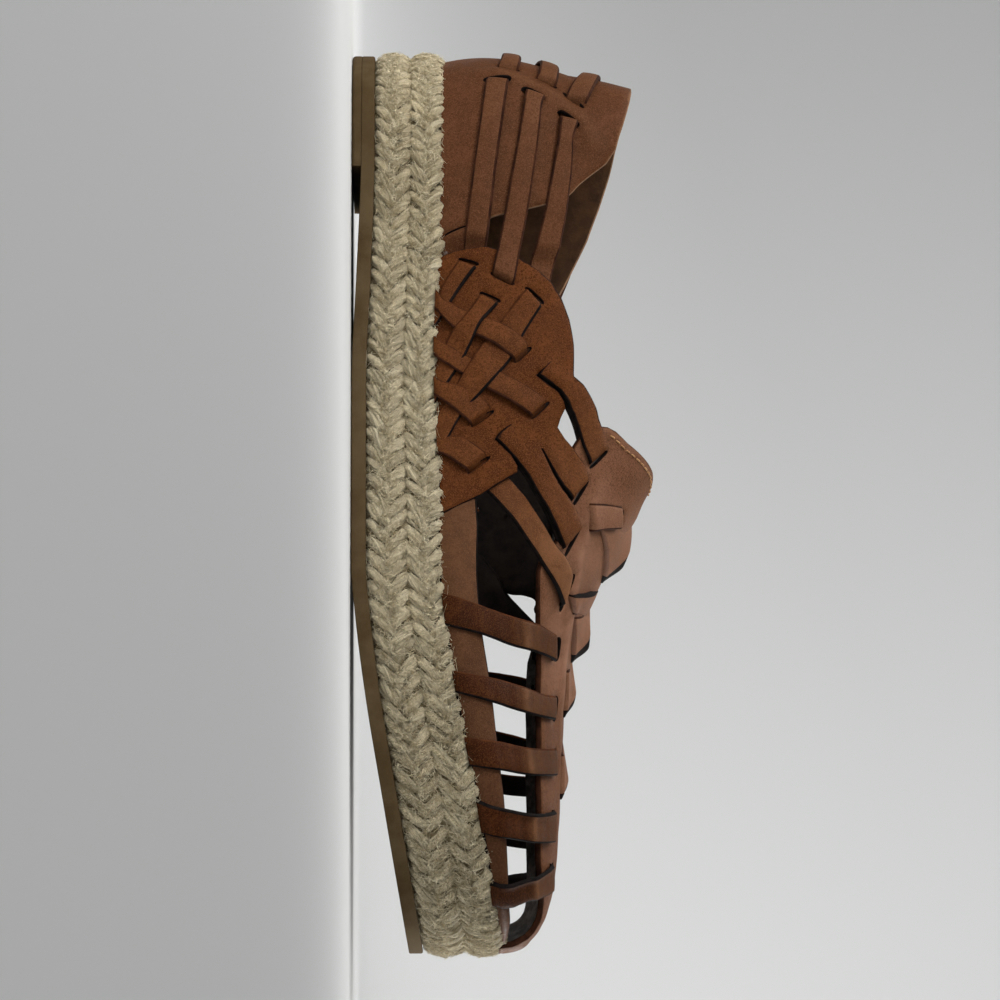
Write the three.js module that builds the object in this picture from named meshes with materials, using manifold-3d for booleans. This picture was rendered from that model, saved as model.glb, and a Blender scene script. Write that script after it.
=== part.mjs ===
// Woven leather espadrille flat, right shoe, empty and standing on its sole.
// Millimetres. +Z up, +Y from heel to toe, +X to the outer (lateral) side.
// The origin is under the middle of the shoe's box, on the floor.
//
// "station" is the distance forward of the heel's back.
// "run" is the distance along the lateral feather edge from the heel's back.
// "girth" is 0 at the feather edge and 100 at the ridge of the last.

import * as THREE from 'three';
import Module from 'manifold-3d';

const wasm = await Module();
wasm.setup();

// ---------------------------------------------------------------- driving sizes
const LENGTH = 257;          // heel back to toe tip of the jute platform
const WALL = 1.8;            // leather of the upper
const GAP = 0.3;             // clearance between neighbouring pieces
const FEATHER_INSET = 2.2;   // middle of the leather wall, inside the jute's edge
const OUTSOLE_INSET = 0.5;   // rubber, inside the jute's edge
const LIFT_FRONT = 39;       // station of the heel lift's front edge
const INSOLE_INSET = 4.4;    // footbed, inside the jute's edge
const INSOLE_THICK = 2.4;
const FAN_REACH = 62;        // how far forward the heel's sections lean together
const FAN_FADE = 40;
const TOE_OFFSET = -3;       // toe tip and front of the ridge, towards the big toe
const BULGE_RISE = 36;       // height of the swelling above the feather edge
const ORIGIN = { x: 1.6, station: LENGTH / 2 };

// platform outline: half-widths to the lateral and medial side
const OUTLINE = [
  { station: 0, lat: 0, med: 0 },
  { station: 2.2, lat: 12, med: 12 },
  { station: 8, lat: 22.5, med: 22 },
  { station: 20, lat: 30, med: 29.5 },
  { station: 38, lat: 33, med: 32 },
  { station: 65, lat: 34.5, med: 31.5 },
  { station: 95, lat: 37.5, med: 30.5 },
  { station: 125, lat: 42.5, med: 32.5 },
  { station: 152, lat: 47, med: 38 },
  { station: 178, lat: 49, med: 43.5 },
  { station: 202, lat: 47.5, med: 45.8 },
  { station: 222, lat: 42.5, med: 44 },
  { station: 238, lat: 34, med: 37.5 },
  { station: 249, lat: 22.5, med: 27.5 },
  { station: 255, lat: 9, med: 15 },
  { station: 257, lat: TOE_OFFSET, med: -TOE_OFFSET },
];

// sole heights: underside of the rubber, rubber and jute thickness
const SOLE = [
  { station: 0, under: 2.6, rubber: 3.8, jute: 19.0 },
  { station: 40, under: 2.4, rubber: 3.8, jute: 18.8 },
  { station: 70, under: 1.2, rubber: 4, jute: 18.8 },
  { station: 100, under: 0, rubber: 4, jute: 19.2 },
  { station: 125, under: 0, rubber: 4, jute: 20.2 },
  { station: 150, under: 0, rubber: 4, jute: 20.7 },
  { station: 165, under: 1.2, rubber: 4, jute: 20.8 },
  { station: 184, under: 3.6, rubber: 4, jute: 21.2 },
  { station: 213, under: 8.4, rubber: 4, jute: 22.0 },
  { station: 241, under: 13.2, rubber: 4, jute: 22.1 },
  { station: 257, under: 16.0, rubber: 4, jute: 21.8 },
];

// height of the last's ridge; over the open collar it is only a guide
const RIDGE = [
  { station: 0, top: 240 },
  { station: 40, top: 215 },
  { station: 60, top: 185 },
  { station: 80, top: 142 },
  { station: 100, top: 107 },
  { station: 112, top: 92 },
  { station: 124, top: 82.5 },
  { station: 140, top: 75.5 },
  { station: 155, top: 68.5 },
  { station: 168, top: 63 },
  { station: 185, top: 60 },
  { station: 205, top: 58.6 },
  { station: 222, top: 57.8 },
  { station: 235, top: 56.8 },
  { station: 244, top: 55.2 },
  { station: 250, top: 52.8 },
  { station: 254, top: 49.6 },
  { station: 256.2, top: 45.8 },
  { station: 257, top: 42.0 },
];

// fullness of the last's sections, and swelling of the wall above the feather
const SECTION = [
  { station: 0, power: 1.62, bulge: 2.4 },
  { station: 20, power: 1.45, bulge: 2.0 },
  { station: 45, power: 1.34, bulge: 1.6 },
  { station: 70, power: 1.4, bulge: 1.3 },
  { station: 100, power: 1.8, bulge: 1.0 },
  { station: 130, power: 1.9, bulge: 0.74 },
  { station: 150, power: 1.8, bulge: 0.6 },
  { station: 170, power: 1.68, bulge: 0.5 },
  { station: 205, power: 1.62, bulge: 0.42 },
  { station: 235, power: 1.7, bulge: 0.35 },
  { station: 257, power: 2.0, bulge: 0.3 },
];

// top edge of the upper: heel counter, top strap, side panel, first finger,
// tongue, then the ridge
const COLLAR = [
  { run: 0, lat: 28.2, med: 28.2 },
  { run: 16, lat: 27.8, med: 27.9 },
  { run: 34, lat: 27.9, med: 28.2 },
  { run: 43, lat: 28.0, med: 28.6 },
  { run: 49.5, lat: 28.0, med: 28.9 },
  { run: 53.5, lat: 27.2, med: 29.1 },
  { run: 59, lat: 25.4, med: 29.1 },
  { run: 65, lat: 24.4, med: 29.1 },
  { run: 72, lat: 25.0, med: 28.7 },
  { run: 83.5, lat: 26.1, med: 28.5 },
  { run: 93, lat: 27.8, med: 29.7 },
  { run: 99.5, lat: 29.9, med: 30.6 },
  { run: 106.5, lat: 31.8, med: 31.8 },
  { run: 115.8, lat: 33.9, med: 33.9 },
  { run: 121, lat: 40.1, med: 40.1 },
  { run: 127.3, lat: 46.0, med: 46.0 },
  { run: 130, lat: 56.0, med: 56.0 },
  { run: 132, lat: 62, med: 62 },
  { run: 134.4, lat: 72.5, med: 72.5 },
  { run: 137, lat: 88, med: 88 },
  { run: 140.3, lat: 100, med: 100 },
];

// openings in the leather: four corners, each as run and girth
const WINDOWS = [
  { name: 'heel low', r1: 79.0, g1: 1.8, r2: 83.2, g2: 1.8, r3: 81.3, g3: 7.6, r4: 76.0, g4: 7.6 },
  { name: 'heel mid', r1: 71.6, g1: 13.2, r2: 80.4, g2: 13.2, r3: 81.2, g3: 15.1, r4: 70.6, g4: 15.1 },
  { name: 'heel high', r1: 68.4, g1: 19.1, r2: 82.9, g2: 19.3, r3: 84.9, g3: 21.6, r4: 66.7, g4: 21.4 },
  { name: 'first gap', r1: 130.5, g1: 35.0, r2: 140.0, g2: 47.3, r3: 139.2, g3: 49.8, r4: 124.2, g4: 36.9 },
  { name: 'third gap', r1: 145.2, g1: 23.6, r2: 164.2, g2: 45.8, r3: 163.0, g3: 48.4, r4: 143.5, g4: 27.3 },
  { name: 'side', r1: 153.5, g1: 13.8, r2: 180.8, g2: 17.6, r3: 185.2, g3: 48.5, r4: 178.6, g4: 53.5 },
  { name: 'toe 1', r1: 189.9, g1: 19.6, r2: 200.3, g2: 21.4, r3: 204.2, g3: 52.5, r4: 193.9, g4: 52.5 },
  { name: 'toe 2', r1: 208.2, g1: 22.3, r2: 217.9, g2: 22.0, r3: 219.6, g3: 53, r4: 211.4, g4: 53 },
  { name: 'toe 3', r1: 226.4, g1: 21.8, r2: 236.8, g2: 21.2, r3: 238.2, g3: 53, r4: 227.2, g4: 53 },
  { name: 'toe 4', r1: 245.2, g1: 19.6, r2: 258.4, g2: 16.6, r3: 256.2, g3: 52.5, r4: 246.8, g4: 52.5 },
  { name: 'toe 5', r1: 266.6, g1: 14.8, r2: 281.5, g2: 15.2, r3: 276.0, g3: 52, r4: 265.0, g4: 52 },
];

// edge profile of the jute platform: two braided rows, one above the other
const BAND = [
  { rise: 0.0, inset: 1.2 },
  { rise: 0.12, inset: 0.3 },
  { rise: 0.36, inset: 0.2 },
  { rise: 0.5, inset: 0.9 },
  { rise: 0.64, inset: 0.2 },
  { rise: 0.88, inset: 0.3 },
  { rise: 1.0, inset: 1.2 },
];

// ---------------------------------------------------------------- curves
// smooth curve through a table's column, without overshoot
function along(table, key, column) {
  const x = table.map((row) => row[key]);
  const y = table.map((row) => row[column]);
  const n = x.length;
  const h = [];
  const d = [];
  for (let i = 0; i < n - 1; i++) {
    h.push(x[i + 1] - x[i]);
    d.push((y[i + 1] - y[i]) / h[i]);
  }
  const m = new Array(n).fill(0);
  m[0] = d[0];
  m[n - 1] = d[n - 2];
  for (let i = 1; i < n - 1; i++) m[i] = (d[i - 1] * h[i] + d[i] * h[i - 1]) / (h[i] + h[i - 1]);
  for (let i = 0; i < n - 1; i++) {
    if (d[i] === 0) {
      m[i] = 0;
      m[i + 1] = 0;
      continue;
    }
    const a = m[i] / d[i];
    const b = m[i + 1] / d[i];
    if (a < 0) m[i] = 0;
    if (b < 0) m[i + 1] = 0;
    if (a > 3) m[i] = 3 * d[i];
    if (b > 3) m[i + 1] = 3 * d[i];
  }
  return (v) => {
    let i = 0;
    while (i < n - 2 && v >= x[i + 1]) i++;
    const t = Math.min(1, Math.max(0, (v - x[i]) / h[i]));
    const t2 = t * t;
    const t3 = t2 * t;
    return (2 * t3 - 3 * t2 + 1) * y[i] + (t3 - 2 * t2 + t) * h[i] * m[i]
      + (3 * t2 - 2 * t3) * y[i + 1] + (t3 - t2) * h[i] * m[i + 1];
  };
}

// straight-line lookup in two rising lists
function lookup(xs, ys, v) {
  if (v <= xs[0]) return ys[0];
  const n = xs.length;
  if (v >= xs[n - 1]) return ys[n - 1];
  let lo = 0;
  let hi = n - 1;
  while (hi - lo > 1) {
    const mid = (lo + hi) >> 1;
    if (xs[mid] <= v) lo = mid;
    else hi = mid;
  }
  const t = (v - xs[lo]) / (xs[hi] - xs[lo]);
  return ys[lo] + (ys[hi] - ys[lo]) * t;
}

const underAt = along(SOLE, 'station', 'under');
const rubberAt = along(SOLE, 'station', 'rubber');
const juteAt = along(SOLE, 'station', 'jute');
const ridgeAt = along(RIDGE, 'station', 'top');
const powerAt = along(SECTION, 'station', 'power');
const bulgeAt = along(SECTION, 'station', 'bulge');
const juteTop = (s) => underAt(s) + rubberAt(s) + juteAt(s);

// one side of the outline, from heel back to toe tip, evenly spaced
function outlineSide(side) {
  const own = side > 0 ? 'lat' : 'med';
  const other = side > 0 ? 'med' : 'lat';
  const pts = OUTLINE.map((r) => [side * r[own], r.station]);
  const far = OUTLINE.map((r) => [-side * r[other], r.station]);
  const n0 = far.length;
  const full = [far[2], far[1], ...pts, far[n0 - 2], far[n0 - 3]];
  const n = full.length;
  const t = [0];
  for (let i = 1; i < n; i++) {
    t.push(t[i - 1] + Math.sqrt(Math.hypot(full[i][0] - full[i - 1][0], full[i][1] - full[i - 1][1])));
  }
  const slope = [0, 1].map((k) => {
    const m = new Array(n).fill(0);
    for (let i = 1; i < n - 1; i++) {
      const h0 = t[i] - t[i - 1];
      const h1 = t[i + 1] - t[i];
      const d0 = (full[i][k] - full[i - 1][k]) / h0;
      const d1 = (full[i + 1][k] - full[i][k]) / h1;
      m[i] = (d0 * h1 + d1 * h0) / (h0 + h1);
    }
    return m;
  });
  const STEPS = 2000;
  const raw = [];
  let i = 2;
  for (let j = 0; j <= STEPS; j++) {
    const tt = t[2] + ((t[n - 3] - t[2]) * j) / STEPS;
    while (i < n - 4 && tt > t[i + 1]) i++;
    const h = t[i + 1] - t[i];
    const u = (tt - t[i]) / h;
    const u2 = u * u;
    const u3 = u2 * u;
    raw.push([0, 1].map((k) => (2 * u3 - 3 * u2 + 1) * full[i][k] + (u3 - 2 * u2 + u) * h * slope[k][i]
      + (3 * u2 - 2 * u3) * full[i + 1][k] + (u3 - u2) * h * slope[k][i + 1]));
  }
  const run = [0];
  for (let j = 1; j <= STEPS; j++) {
    run.push(run[j - 1] + Math.hypot(raw[j][0] - raw[j - 1][0], raw[j][1] - raw[j - 1][1]));
  }
  const xs = raw.map((p) => p[0]);
  const ys = raw.map((p) => p[1]);
  const total = run[STEPS];
  const at = (a) => [lookup(run, xs, a), lookup(run, ys, a)];
  const normal = (a) => {
    const p = at(Math.max(0, a - 0.4));
    const q = at(Math.min(total, a + 0.4));
    let tx = q[0] - p[0];
    const ty = q[1] - p[1];
    if (a < 0.5) return [0, -1];
    const l = Math.hypot(tx, ty);
    return [(side * ty) / l, (-side * tx) / l];
  };
  const inset = (a, d) => {
    const p = at(a);
    const m = normal(a);
    return [p[0] - m[0] * d, p[1] - m[1] * d];
  };
  return { side, total, at, normal, inset, run, xs, ys };
}

const LAT = outlineSide(1);
const MED = outlineSide(-1);

// run on a side's own outline where its inset edge reaches a station
function runAtStation(edge, d, station) {
  let lo = 0;
  let hi = edge.total;
  for (let k = 0; k < 50; k++) {
    const mid = (lo + hi) / 2;
    if (edge.inset(mid, d)[1] < station) lo = mid;
    else hi = mid;
  }
  return (lo + hi) / 2;
}

const TIP = LENGTH - FEATHER_INSET;

// point of the last, from the run on that side's outline and the girth (0 to 1)
function lastPoint(edge, run, girth) {
  const b = edge.inset(run, FEATHER_INSET);
  const s = b[1];
  const base = juteTop(s) + GAP;
  const t = Math.min(TIP, s + FAN_REACH * Math.exp(-s / FAN_FADE));
  const top = ridgeAt(Math.min(LENGTH, t + (LENGTH - TIP) * Math.pow(s / TIP, 6)));
  const rx = TOE_OFFSET * Math.min(1, Math.max(0, (t - 150) / 100));
  const p = 2 / powerAt(s);
  const phi = (girth * Math.PI) / 2;
  const f = Math.pow(Math.sin(phi), p);
  const k = 1 - Math.pow(Math.max(0, Math.cos(phi)), p);
  const z = base + f * Math.max(top - base, 0);
  const swell = bulgeAt(s) * Math.sin(Math.PI * Math.min(1, Math.max(0, (z - base) / BULGE_RISE)));
  const n = edge.normal(run);
  return new THREE.Vector3(
    b[0] + (rx - b[0]) * k + n[0] * swell,
    s + (t - s) * k + n[1] * swell,
    z,
  );
}

function lastNormal(edge, run, girth) {
  const a0 = Math.max(0, run - 0.6);
  const a1 = Math.min(edge.total - 0.05, run + 0.6);
  const g0 = Math.max(0, girth - 0.015);
  const g1 = Math.min(1, girth + 0.015);
  const du = lastPoint(edge, a1, girth).sub(lastPoint(edge, a0, girth));
  const dv = lastPoint(edge, run, g1).sub(lastPoint(edge, run, g0));
  const n = du.cross(dv).multiplyScalar(edge.side);
  if (run < 0.01) n.x = 0;
  if (girth > 0.9999) n.x = 0;
  return n.normalize();
}

const offsetPoint = (edge, run, girth, d) => lastPoint(edge, run, girth).addScaledVector(lastNormal(edge, run, girth), d);

// the same station on either side, from a lateral run
function sideRun(edge, run) {
  if (edge === LAT) return Math.min(run, LAT.total - 0.02);
  const station = LAT.inset(Math.min(run, LAT.total), FEATHER_INSET)[1];
  return run <= 0 ? 0 : runAtStation(MED, FEATHER_INSET, station);
}

// ---------------------------------------------------------------- solids
class Shell {
  constructor() {
    this.pos = [];
    this.tri = [];
  }

  point(v) {
    this.pos.push(v.x, v.y, v.z);
    return this.pos.length / 3 - 1;
  }

  quad(a, b, c, d) {
    this.tri.push(a, b, c, a, c, d);
  }

  manifold() {
    return new wasm.Manifold(new wasm.Mesh({
      numProp: 3,
      vertProperties: Float32Array.from(this.pos),
      triVerts: Uint32Array.from(this.tri),
    }));
  }

  geometry() {
    const g = new THREE.BufferGeometry();
    g.setAttribute('position', new THREE.Float32BufferAttribute(this.pos, 3));
    g.setIndex(this.tri);
    return g;
  }
}

function fromManifold(solid) {
  const m = solid.getMesh();
  const g = new THREE.BufferGeometry();
  const pos = [];
  for (let i = 0; i < m.numVert; i++) {
    pos.push(m.vertProperties[i * m.numProp], m.vertProperties[i * m.numProp + 1], m.vertProperties[i * m.numProp + 2]);
  }
  g.setAttribute('position', new THREE.Float32BufferAttribute(pos, 3));
  g.setIndex(Array.from(m.triVerts));
  return g;
}

// a plate or band that follows the outline: rings give its inset and height
function platform(rings, first, last, columns) {
  const shell = new Shell();
  const stations = [];
  const start = runAtStation(LAT, rings[0].inset, first);
  const end = runAtStation(LAT, rings[0].inset, last);
  for (let j = 0; j <= columns; j++) stations.push(start + ((end - start) * j) / columns);
  const edgePoint = (edge, ring, j) => {
    const closedBack = first <= 0 && j === 0;
    const closedFront = last >= LENGTH && j === columns;
    let p;
    if (closedBack) p = [0, ring.inset];
    else if (closedFront) p = [TOE_OFFSET, LENGTH - ring.inset];
    else {
      const latRun = stations[j];
      const q = LAT.inset(latRun, ring.inset);
      p = edge === LAT ? q : MED.inset(runAtStation(MED, ring.inset, q[1]), ring.inset);
    }
    return new THREE.Vector3(p[0], p[1], ring.height(p[1]));
  };
  const id = rings.map((ring) => {
    const lat = [];
    const med = [];
    for (let j = 0; j <= columns; j++) {
      const single = (first <= 0 && j === 0) || (last >= LENGTH && j === columns);
      const l = shell.point(edgePoint(LAT, ring, j));
      lat.push(l);
      med.push(single ? l : shell.point(edgePoint(MED, ring, j)));
    }
    return { lat, med };
  });
  const face = (a, b, c, d) => {
    const loop = [a, b, c, d].filter((v, i, all) => v !== all[(i + 1) % 4]);
    if (loop.length === 4) shell.quad(...loop);
    else if (loop.length === 3) shell.tri.push(...loop);
  };
  const n = rings.length;
  for (let j = 0; j < columns; j++) {
    for (let r = 0; r < n - 1; r++) {
      const lo = id[r];
      const hi = id[r + 1];
      face(lo.lat[j], lo.lat[j + 1], hi.lat[j + 1], hi.lat[j]);
      face(lo.med[j + 1], lo.med[j], hi.med[j], hi.med[j + 1]);
    }
    face(id[0].med[j], id[0].med[j + 1], id[0].lat[j + 1], id[0].lat[j]);
    face(id[n - 1].lat[j], id[n - 1].lat[j + 1], id[n - 1].med[j + 1], id[n - 1].med[j]);
  }
  for (const j of [0, columns]) {
    const single = id[0].lat[j] === id[0].med[j];
    if (single) continue;
    for (let r = 0; r < n - 1; r++) {
      if (j === 0) face(id[r].med[j], id[r].lat[j], id[r + 1].lat[j], id[r + 1].med[j]);
      else face(id[r].lat[j], id[r].med[j], id[r + 1].med[j], id[r + 1].lat[j]);
    }
  }
  return shell.geometry();
}

// the leather wall over the whole last, open at the collar and underneath
function leatherWall() {
  const ROWS = 8;
  const runs = [];
  for (let a = 0; a < 120; a += 6) runs.push(a);
  runs.push(120, 124, 127.3, 130, 132, 134.4, 137, 140.3);
  for (let a = 146; a < LAT.total - 12; a += 6) runs.push(a);
  const near = runs[runs.length - 1];
  for (const part of [0.38, 0.68, 0.88]) runs.push(near + (LAT.total - near) * part);
  const collar = { 1: along(COLLAR, 'run', 'lat'), '-1': along(COLLAR, 'run', 'med') };
  const shell = new Shell();
  const sides = [LAT, MED];
  const topAt = (edge, run) => (run >= 140.2 ? 1 : Math.min(1, collar[edge.side](run) / 100));
  const grid = {};
  for (const layer of [1, -1]) {
    const shared = new Map();
    for (const edge of sides) {
      grid[[layer, edge.side]] = runs.map((run, j) => {
        const own = sideRun(edge, run);
        const top = topAt(edge, run);
        const column = [];
        for (let i = 0; i <= ROWS; i++) {
          const girth = (top * i) / ROWS;
          const key = j === 0 ? `h${i}` : top === 1 && i === ROWS ? `r${j}` : null;
          if (key && shared.has(key)) {
            column.push(shared.get(key));
            continue;
          }
          const v = shell.point(offsetPoint(edge, own, girth, (layer * WALL) / 2));
          if (key) shared.set(key, v);
          column.push(v);
        }
        return column;
      });
    }
  }
  const turn = (flip, a, b, c, d) => {
    if (flip) shell.quad(d, c, b, a);
    else shell.quad(a, b, c, d);
  };
  const N = runs.length - 1;
  for (const edge of sides) {
    const out = grid[[1, edge.side]];
    const inn = grid[[-1, edge.side]];
    const flip = edge.side < 0;
    for (let j = 0; j < N; j++) {
      for (let i = 0; i < ROWS; i++) {
        turn(flip, out[j][i], out[j + 1][i], out[j + 1][i + 1], out[j][i + 1]);
        turn(flip, inn[j][i + 1], inn[j + 1][i + 1], inn[j + 1][i], inn[j][i]);
      }
      turn(flip, inn[j][0], inn[j + 1][0], out[j + 1][0], out[j][0]);
      if (topAt(edge, runs[j]) < 1) {
        turn(flip, out[j][ROWS], out[j + 1][ROWS], inn[j + 1][ROWS], inn[j][ROWS]);
      }
    }
    for (let i = 0; i < ROWS; i++) turn(flip, inn[N][i], inn[N][i + 1], out[N][i + 1], out[N][i]);
  }
  return shell;
}

// a block through the wall between four corners on the last
function windowBlock(edge, w) {
  const REACH = 4;
  const NU = 3;
  const NV = 4;
  const shell = new Shell();
  const corner = (u, v) => {
    const mix = (a, b, c, d) => (a * (1 - u) + b * u) * (1 - v) + (d * (1 - u) + c * u) * v;
    return [mix(w.r1, w.r2, w.r3, w.r4), mix(w.g1, w.g2, w.g3, w.g4) / 100];
  };
  const layer = [REACH, -REACH].map((d) => {
    const rows = [];
    for (let j = 0; j <= NU; j++) {
      const row = [];
      for (let i = 0; i <= NV; i++) {
        const [run, girth] = corner(j / NU, i / NV);
        row.push(shell.point(offsetPoint(edge, sideRun(edge, run), girth, d)));
      }
      rows.push(row);
    }
    return rows;
  });
  const [out, inn] = layer;
  const flip = edge.side < 0;
  const turn = (a, b, c, d) => (flip ? shell.quad(d, c, b, a) : shell.quad(a, b, c, d));
  for (let j = 0; j < NU; j++) {
    for (let i = 0; i < NV; i++) {
      turn(out[j][i], out[j + 1][i], out[j + 1][i + 1], out[j][i + 1]);
      turn(inn[j][i + 1], inn[j + 1][i + 1], inn[j + 1][i], inn[j][i]);
    }
    turn(inn[j][0], inn[j + 1][0], out[j + 1][0], out[j][0]);
    turn(out[j][NV], out[j + 1][NV], inn[j + 1][NV], inn[j][NV]);
  }
  for (let i = 0; i < NV; i++) {
    turn(inn[0][i + 1], inn[0][i], out[0][i], out[0][i + 1]);
    turn(inn[NU][i], inn[NU][i + 1], out[NU][i + 1], out[NU][i]);
  }
  return shell.manifold();
}

function upperGeometry() {
  let solid = leatherWall().manifold();
  for (const edge of [LAT, MED]) {
    for (const w of WINDOWS) solid = solid.subtract(windowBlock(edge, w));
  }
  return fromManifold(solid);
}

// ---------------------------------------------------------------- the shoe
const rubber = () => new THREE.MeshStandardMaterial({ color: 0x7d6f5c, roughness: 0.75, metalness: 0 });
const jute = () => new THREE.MeshStandardMaterial({ color: 0xbcae8e, roughness: 0.95, metalness: 0 });
const leather = () => new THREE.MeshStandardMaterial({ color: 0x8a5a3c, roughness: 0.55, metalness: 0 });
const lining = () => new THREE.MeshStandardMaterial({ color: 0x3a2b22, roughness: 0.7, metalness: 0 });

const shoe = new THREE.Group();
shoe.position.set(-ORIGIN.x, -ORIGIN.station, 0);

function place(name, geometry, material) {
  const mesh = new THREE.Mesh(geometry, material);
  mesh.name = name;
  shoe.add(mesh);
}

const rubberTop = (s) => underAt(s) + rubberAt(s);

place('heel_lift', platform([
  { inset: OUTSOLE_INSET + 0.4, height: () => 0 },
  { inset: OUTSOLE_INSET, height: () => 0.5 },
  { inset: OUTSOLE_INSET, height: (s) => underAt(s) - GAP },
], 0, LIFT_FRONT, 22), rubber());

place('outsole', platform([
  { inset: OUTSOLE_INSET + 0.5, height: underAt },
  { inset: OUTSOLE_INSET, height: (s) => underAt(s) + 0.6 },
  { inset: OUTSOLE_INSET, height: rubberTop },
], 0, LENGTH, 56), rubber());

place('midsole', platform(BAND.map((row) => ({
  inset: row.inset,
  height: (s) => rubberTop(s) + GAP + (juteAt(s) - GAP) * row.rise,
})), 0, LENGTH, 50), jute());

place('insole', platform([
  { inset: INSOLE_INSET, height: (s) => juteTop(s) + GAP },
  { inset: INSOLE_INSET, height: (s) => juteTop(s) + GAP + INSOLE_THICK },
], 0, LENGTH, 50), lining());

place('upper', upperGeometry(), leather());

export default shoe;
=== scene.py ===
# Woven leather espadrille flat on a braided jute platform: the visual model,
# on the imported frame. Sizes in the tables are millimetres, objects are metres.
#
# "station" is the distance forward of the heel's back.
# "run" is the distance along the lateral feather edge from the heel's back;
# a negative run is on the medial side.
# "girth" is 0 at the feather edge and 100 at the ridge of the last; beyond 100
# it goes on down the other side.
import math

import bmesh
import bpy
import numpy as np
from mathutils import Matrix, Vector
from mathutils.geometry import delaunay_2d_cdt


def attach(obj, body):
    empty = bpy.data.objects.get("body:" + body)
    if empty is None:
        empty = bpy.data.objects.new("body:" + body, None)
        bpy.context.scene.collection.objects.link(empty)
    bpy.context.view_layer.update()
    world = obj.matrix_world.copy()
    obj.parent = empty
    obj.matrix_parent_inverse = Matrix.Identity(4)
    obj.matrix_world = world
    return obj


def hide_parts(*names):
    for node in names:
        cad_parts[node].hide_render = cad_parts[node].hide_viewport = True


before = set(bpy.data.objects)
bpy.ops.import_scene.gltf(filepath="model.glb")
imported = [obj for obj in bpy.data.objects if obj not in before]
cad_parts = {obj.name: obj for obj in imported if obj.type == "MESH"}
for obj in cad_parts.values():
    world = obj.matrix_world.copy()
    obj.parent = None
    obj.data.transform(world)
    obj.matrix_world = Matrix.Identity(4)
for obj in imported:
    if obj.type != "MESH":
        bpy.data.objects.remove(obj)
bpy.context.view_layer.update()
scene = bpy.context.scene
rng = np.random.default_rng(11)

# ------------------------------------------------------------------ the last
LENGTH = 257.0
FEATHER = 2.2
GAP = 0.3
FAN_REACH = 62.0
FAN_FADE = 40.0
TOE_OFFSET = -3.0
BULGE_RISE = 36.0
ORIGIN = np.array([1.6, 128.5, 0.0])
TIP = LENGTH - FEATHER

# station, lateral and medial half-width of the platform
OUTLINE = [
    (0, 0, 0), (2.2, 12, 12), (8, 22.5, 22), (20, 30, 29.5), (38, 33, 32), (65, 34.5, 31.5),
    (95, 37.5, 30.5), (125, 42.5, 32.5), (152, 47, 38), (178, 49, 43.5), (202, 47.5, 45.8),
    (222, 42.5, 44), (238, 34, 37.5), (249, 22.5, 27.5), (255, 9, 15), (257, TOE_OFFSET, -TOE_OFFSET),
]
# station, underside of the rubber, rubber and jute thickness
SOLE = [
    (0, 2.6, 3.8, 19.0), (40, 2.4, 3.8, 18.8), (70, 1.2, 4, 18.8), (100, 0, 4, 19.2), (125, 0, 4, 20.2),
    (150, 0, 4, 20.7), (165, 1.2, 4, 20.8), (184, 3.6, 4, 21.2), (213, 8.4, 4, 22.0), (241, 13.2, 4, 22.1),
    (257, 16.0, 4, 21.8),
]
# station, height of the ridge
RIDGE = [
    (0, 240), (40, 215), (60, 185), (80, 142), (100, 107), (112, 92), (124, 82.5), (140, 75.5), (155, 68.5),
    (168, 63), (185, 60), (205, 58.6), (222, 57.8), (235, 56.8), (244, 55.2), (250, 52.8), (254, 49.6),
    (256.2, 45.8), (257, 42.0),
]
# station, fullness of the section, swelling above the feather
SECTION = [
    (0, 1.62, 2.4), (20, 1.45, 2.0), (45, 1.34, 1.6), (70, 1.4, 1.3), (100, 1.8, 1.0), (130, 1.9, 0.74),
    (150, 1.8, 0.6), (170, 1.68, 0.5), (205, 1.62, 0.42), (235, 1.7, 0.35), (257, 2.0, 0.3),
]


def along(table, column):
    """A smooth curve through one column of a table, without overshoot."""
    x = np.array([r[0] for r in table], float)
    y = np.array([r[column] for r in table], float)
    h = np.diff(x)
    d = np.diff(y) / h
    m = np.zeros_like(y)
    m[0], m[-1] = d[0], d[-1]
    m[1:-1] = (d[:-1] * h[1:] + d[1:] * h[:-1]) / (h[1:] + h[:-1])
    for i in range(len(d)):
        if d[i] == 0:
            m[i] = m[i + 1] = 0
            continue
        a, b = m[i] / d[i], m[i + 1] / d[i]
        if a < 0:
            m[i] = 0
        if b < 0:
            m[i + 1] = 0
        if a > 3:
            m[i] = 3 * d[i]
        if b > 3:
            m[i + 1] = 3 * d[i]

    def f(v):
        v = np.asarray(v, float)
        i = np.clip(np.searchsorted(x, v, side="right") - 1, 0, len(x) - 2)
        t = np.clip((v - x[i]) / h[i], 0, 1)
        t2, t3 = t * t, t * t * t
        return (2 * t3 - 3 * t2 + 1) * y[i] + (t3 - 2 * t2 + t) * h[i] * m[i] + (3 * t2 - 2 * t3) * y[i + 1] + (t3 - t2) * h[i] * m[i + 1]

    return f


under_at, rubber_at, jute_at = along(SOLE, 1), along(SOLE, 2), along(SOLE, 3)
ridge_at = along(RIDGE, 1)
power_at, bulge_at = along(SECTION, 1), along(SECTION, 2)


def rubber_top(s):
    return under_at(s) + rubber_at(s)


def jute_top(s):
    return under_at(s) + rubber_at(s) + jute_at(s)


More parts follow.
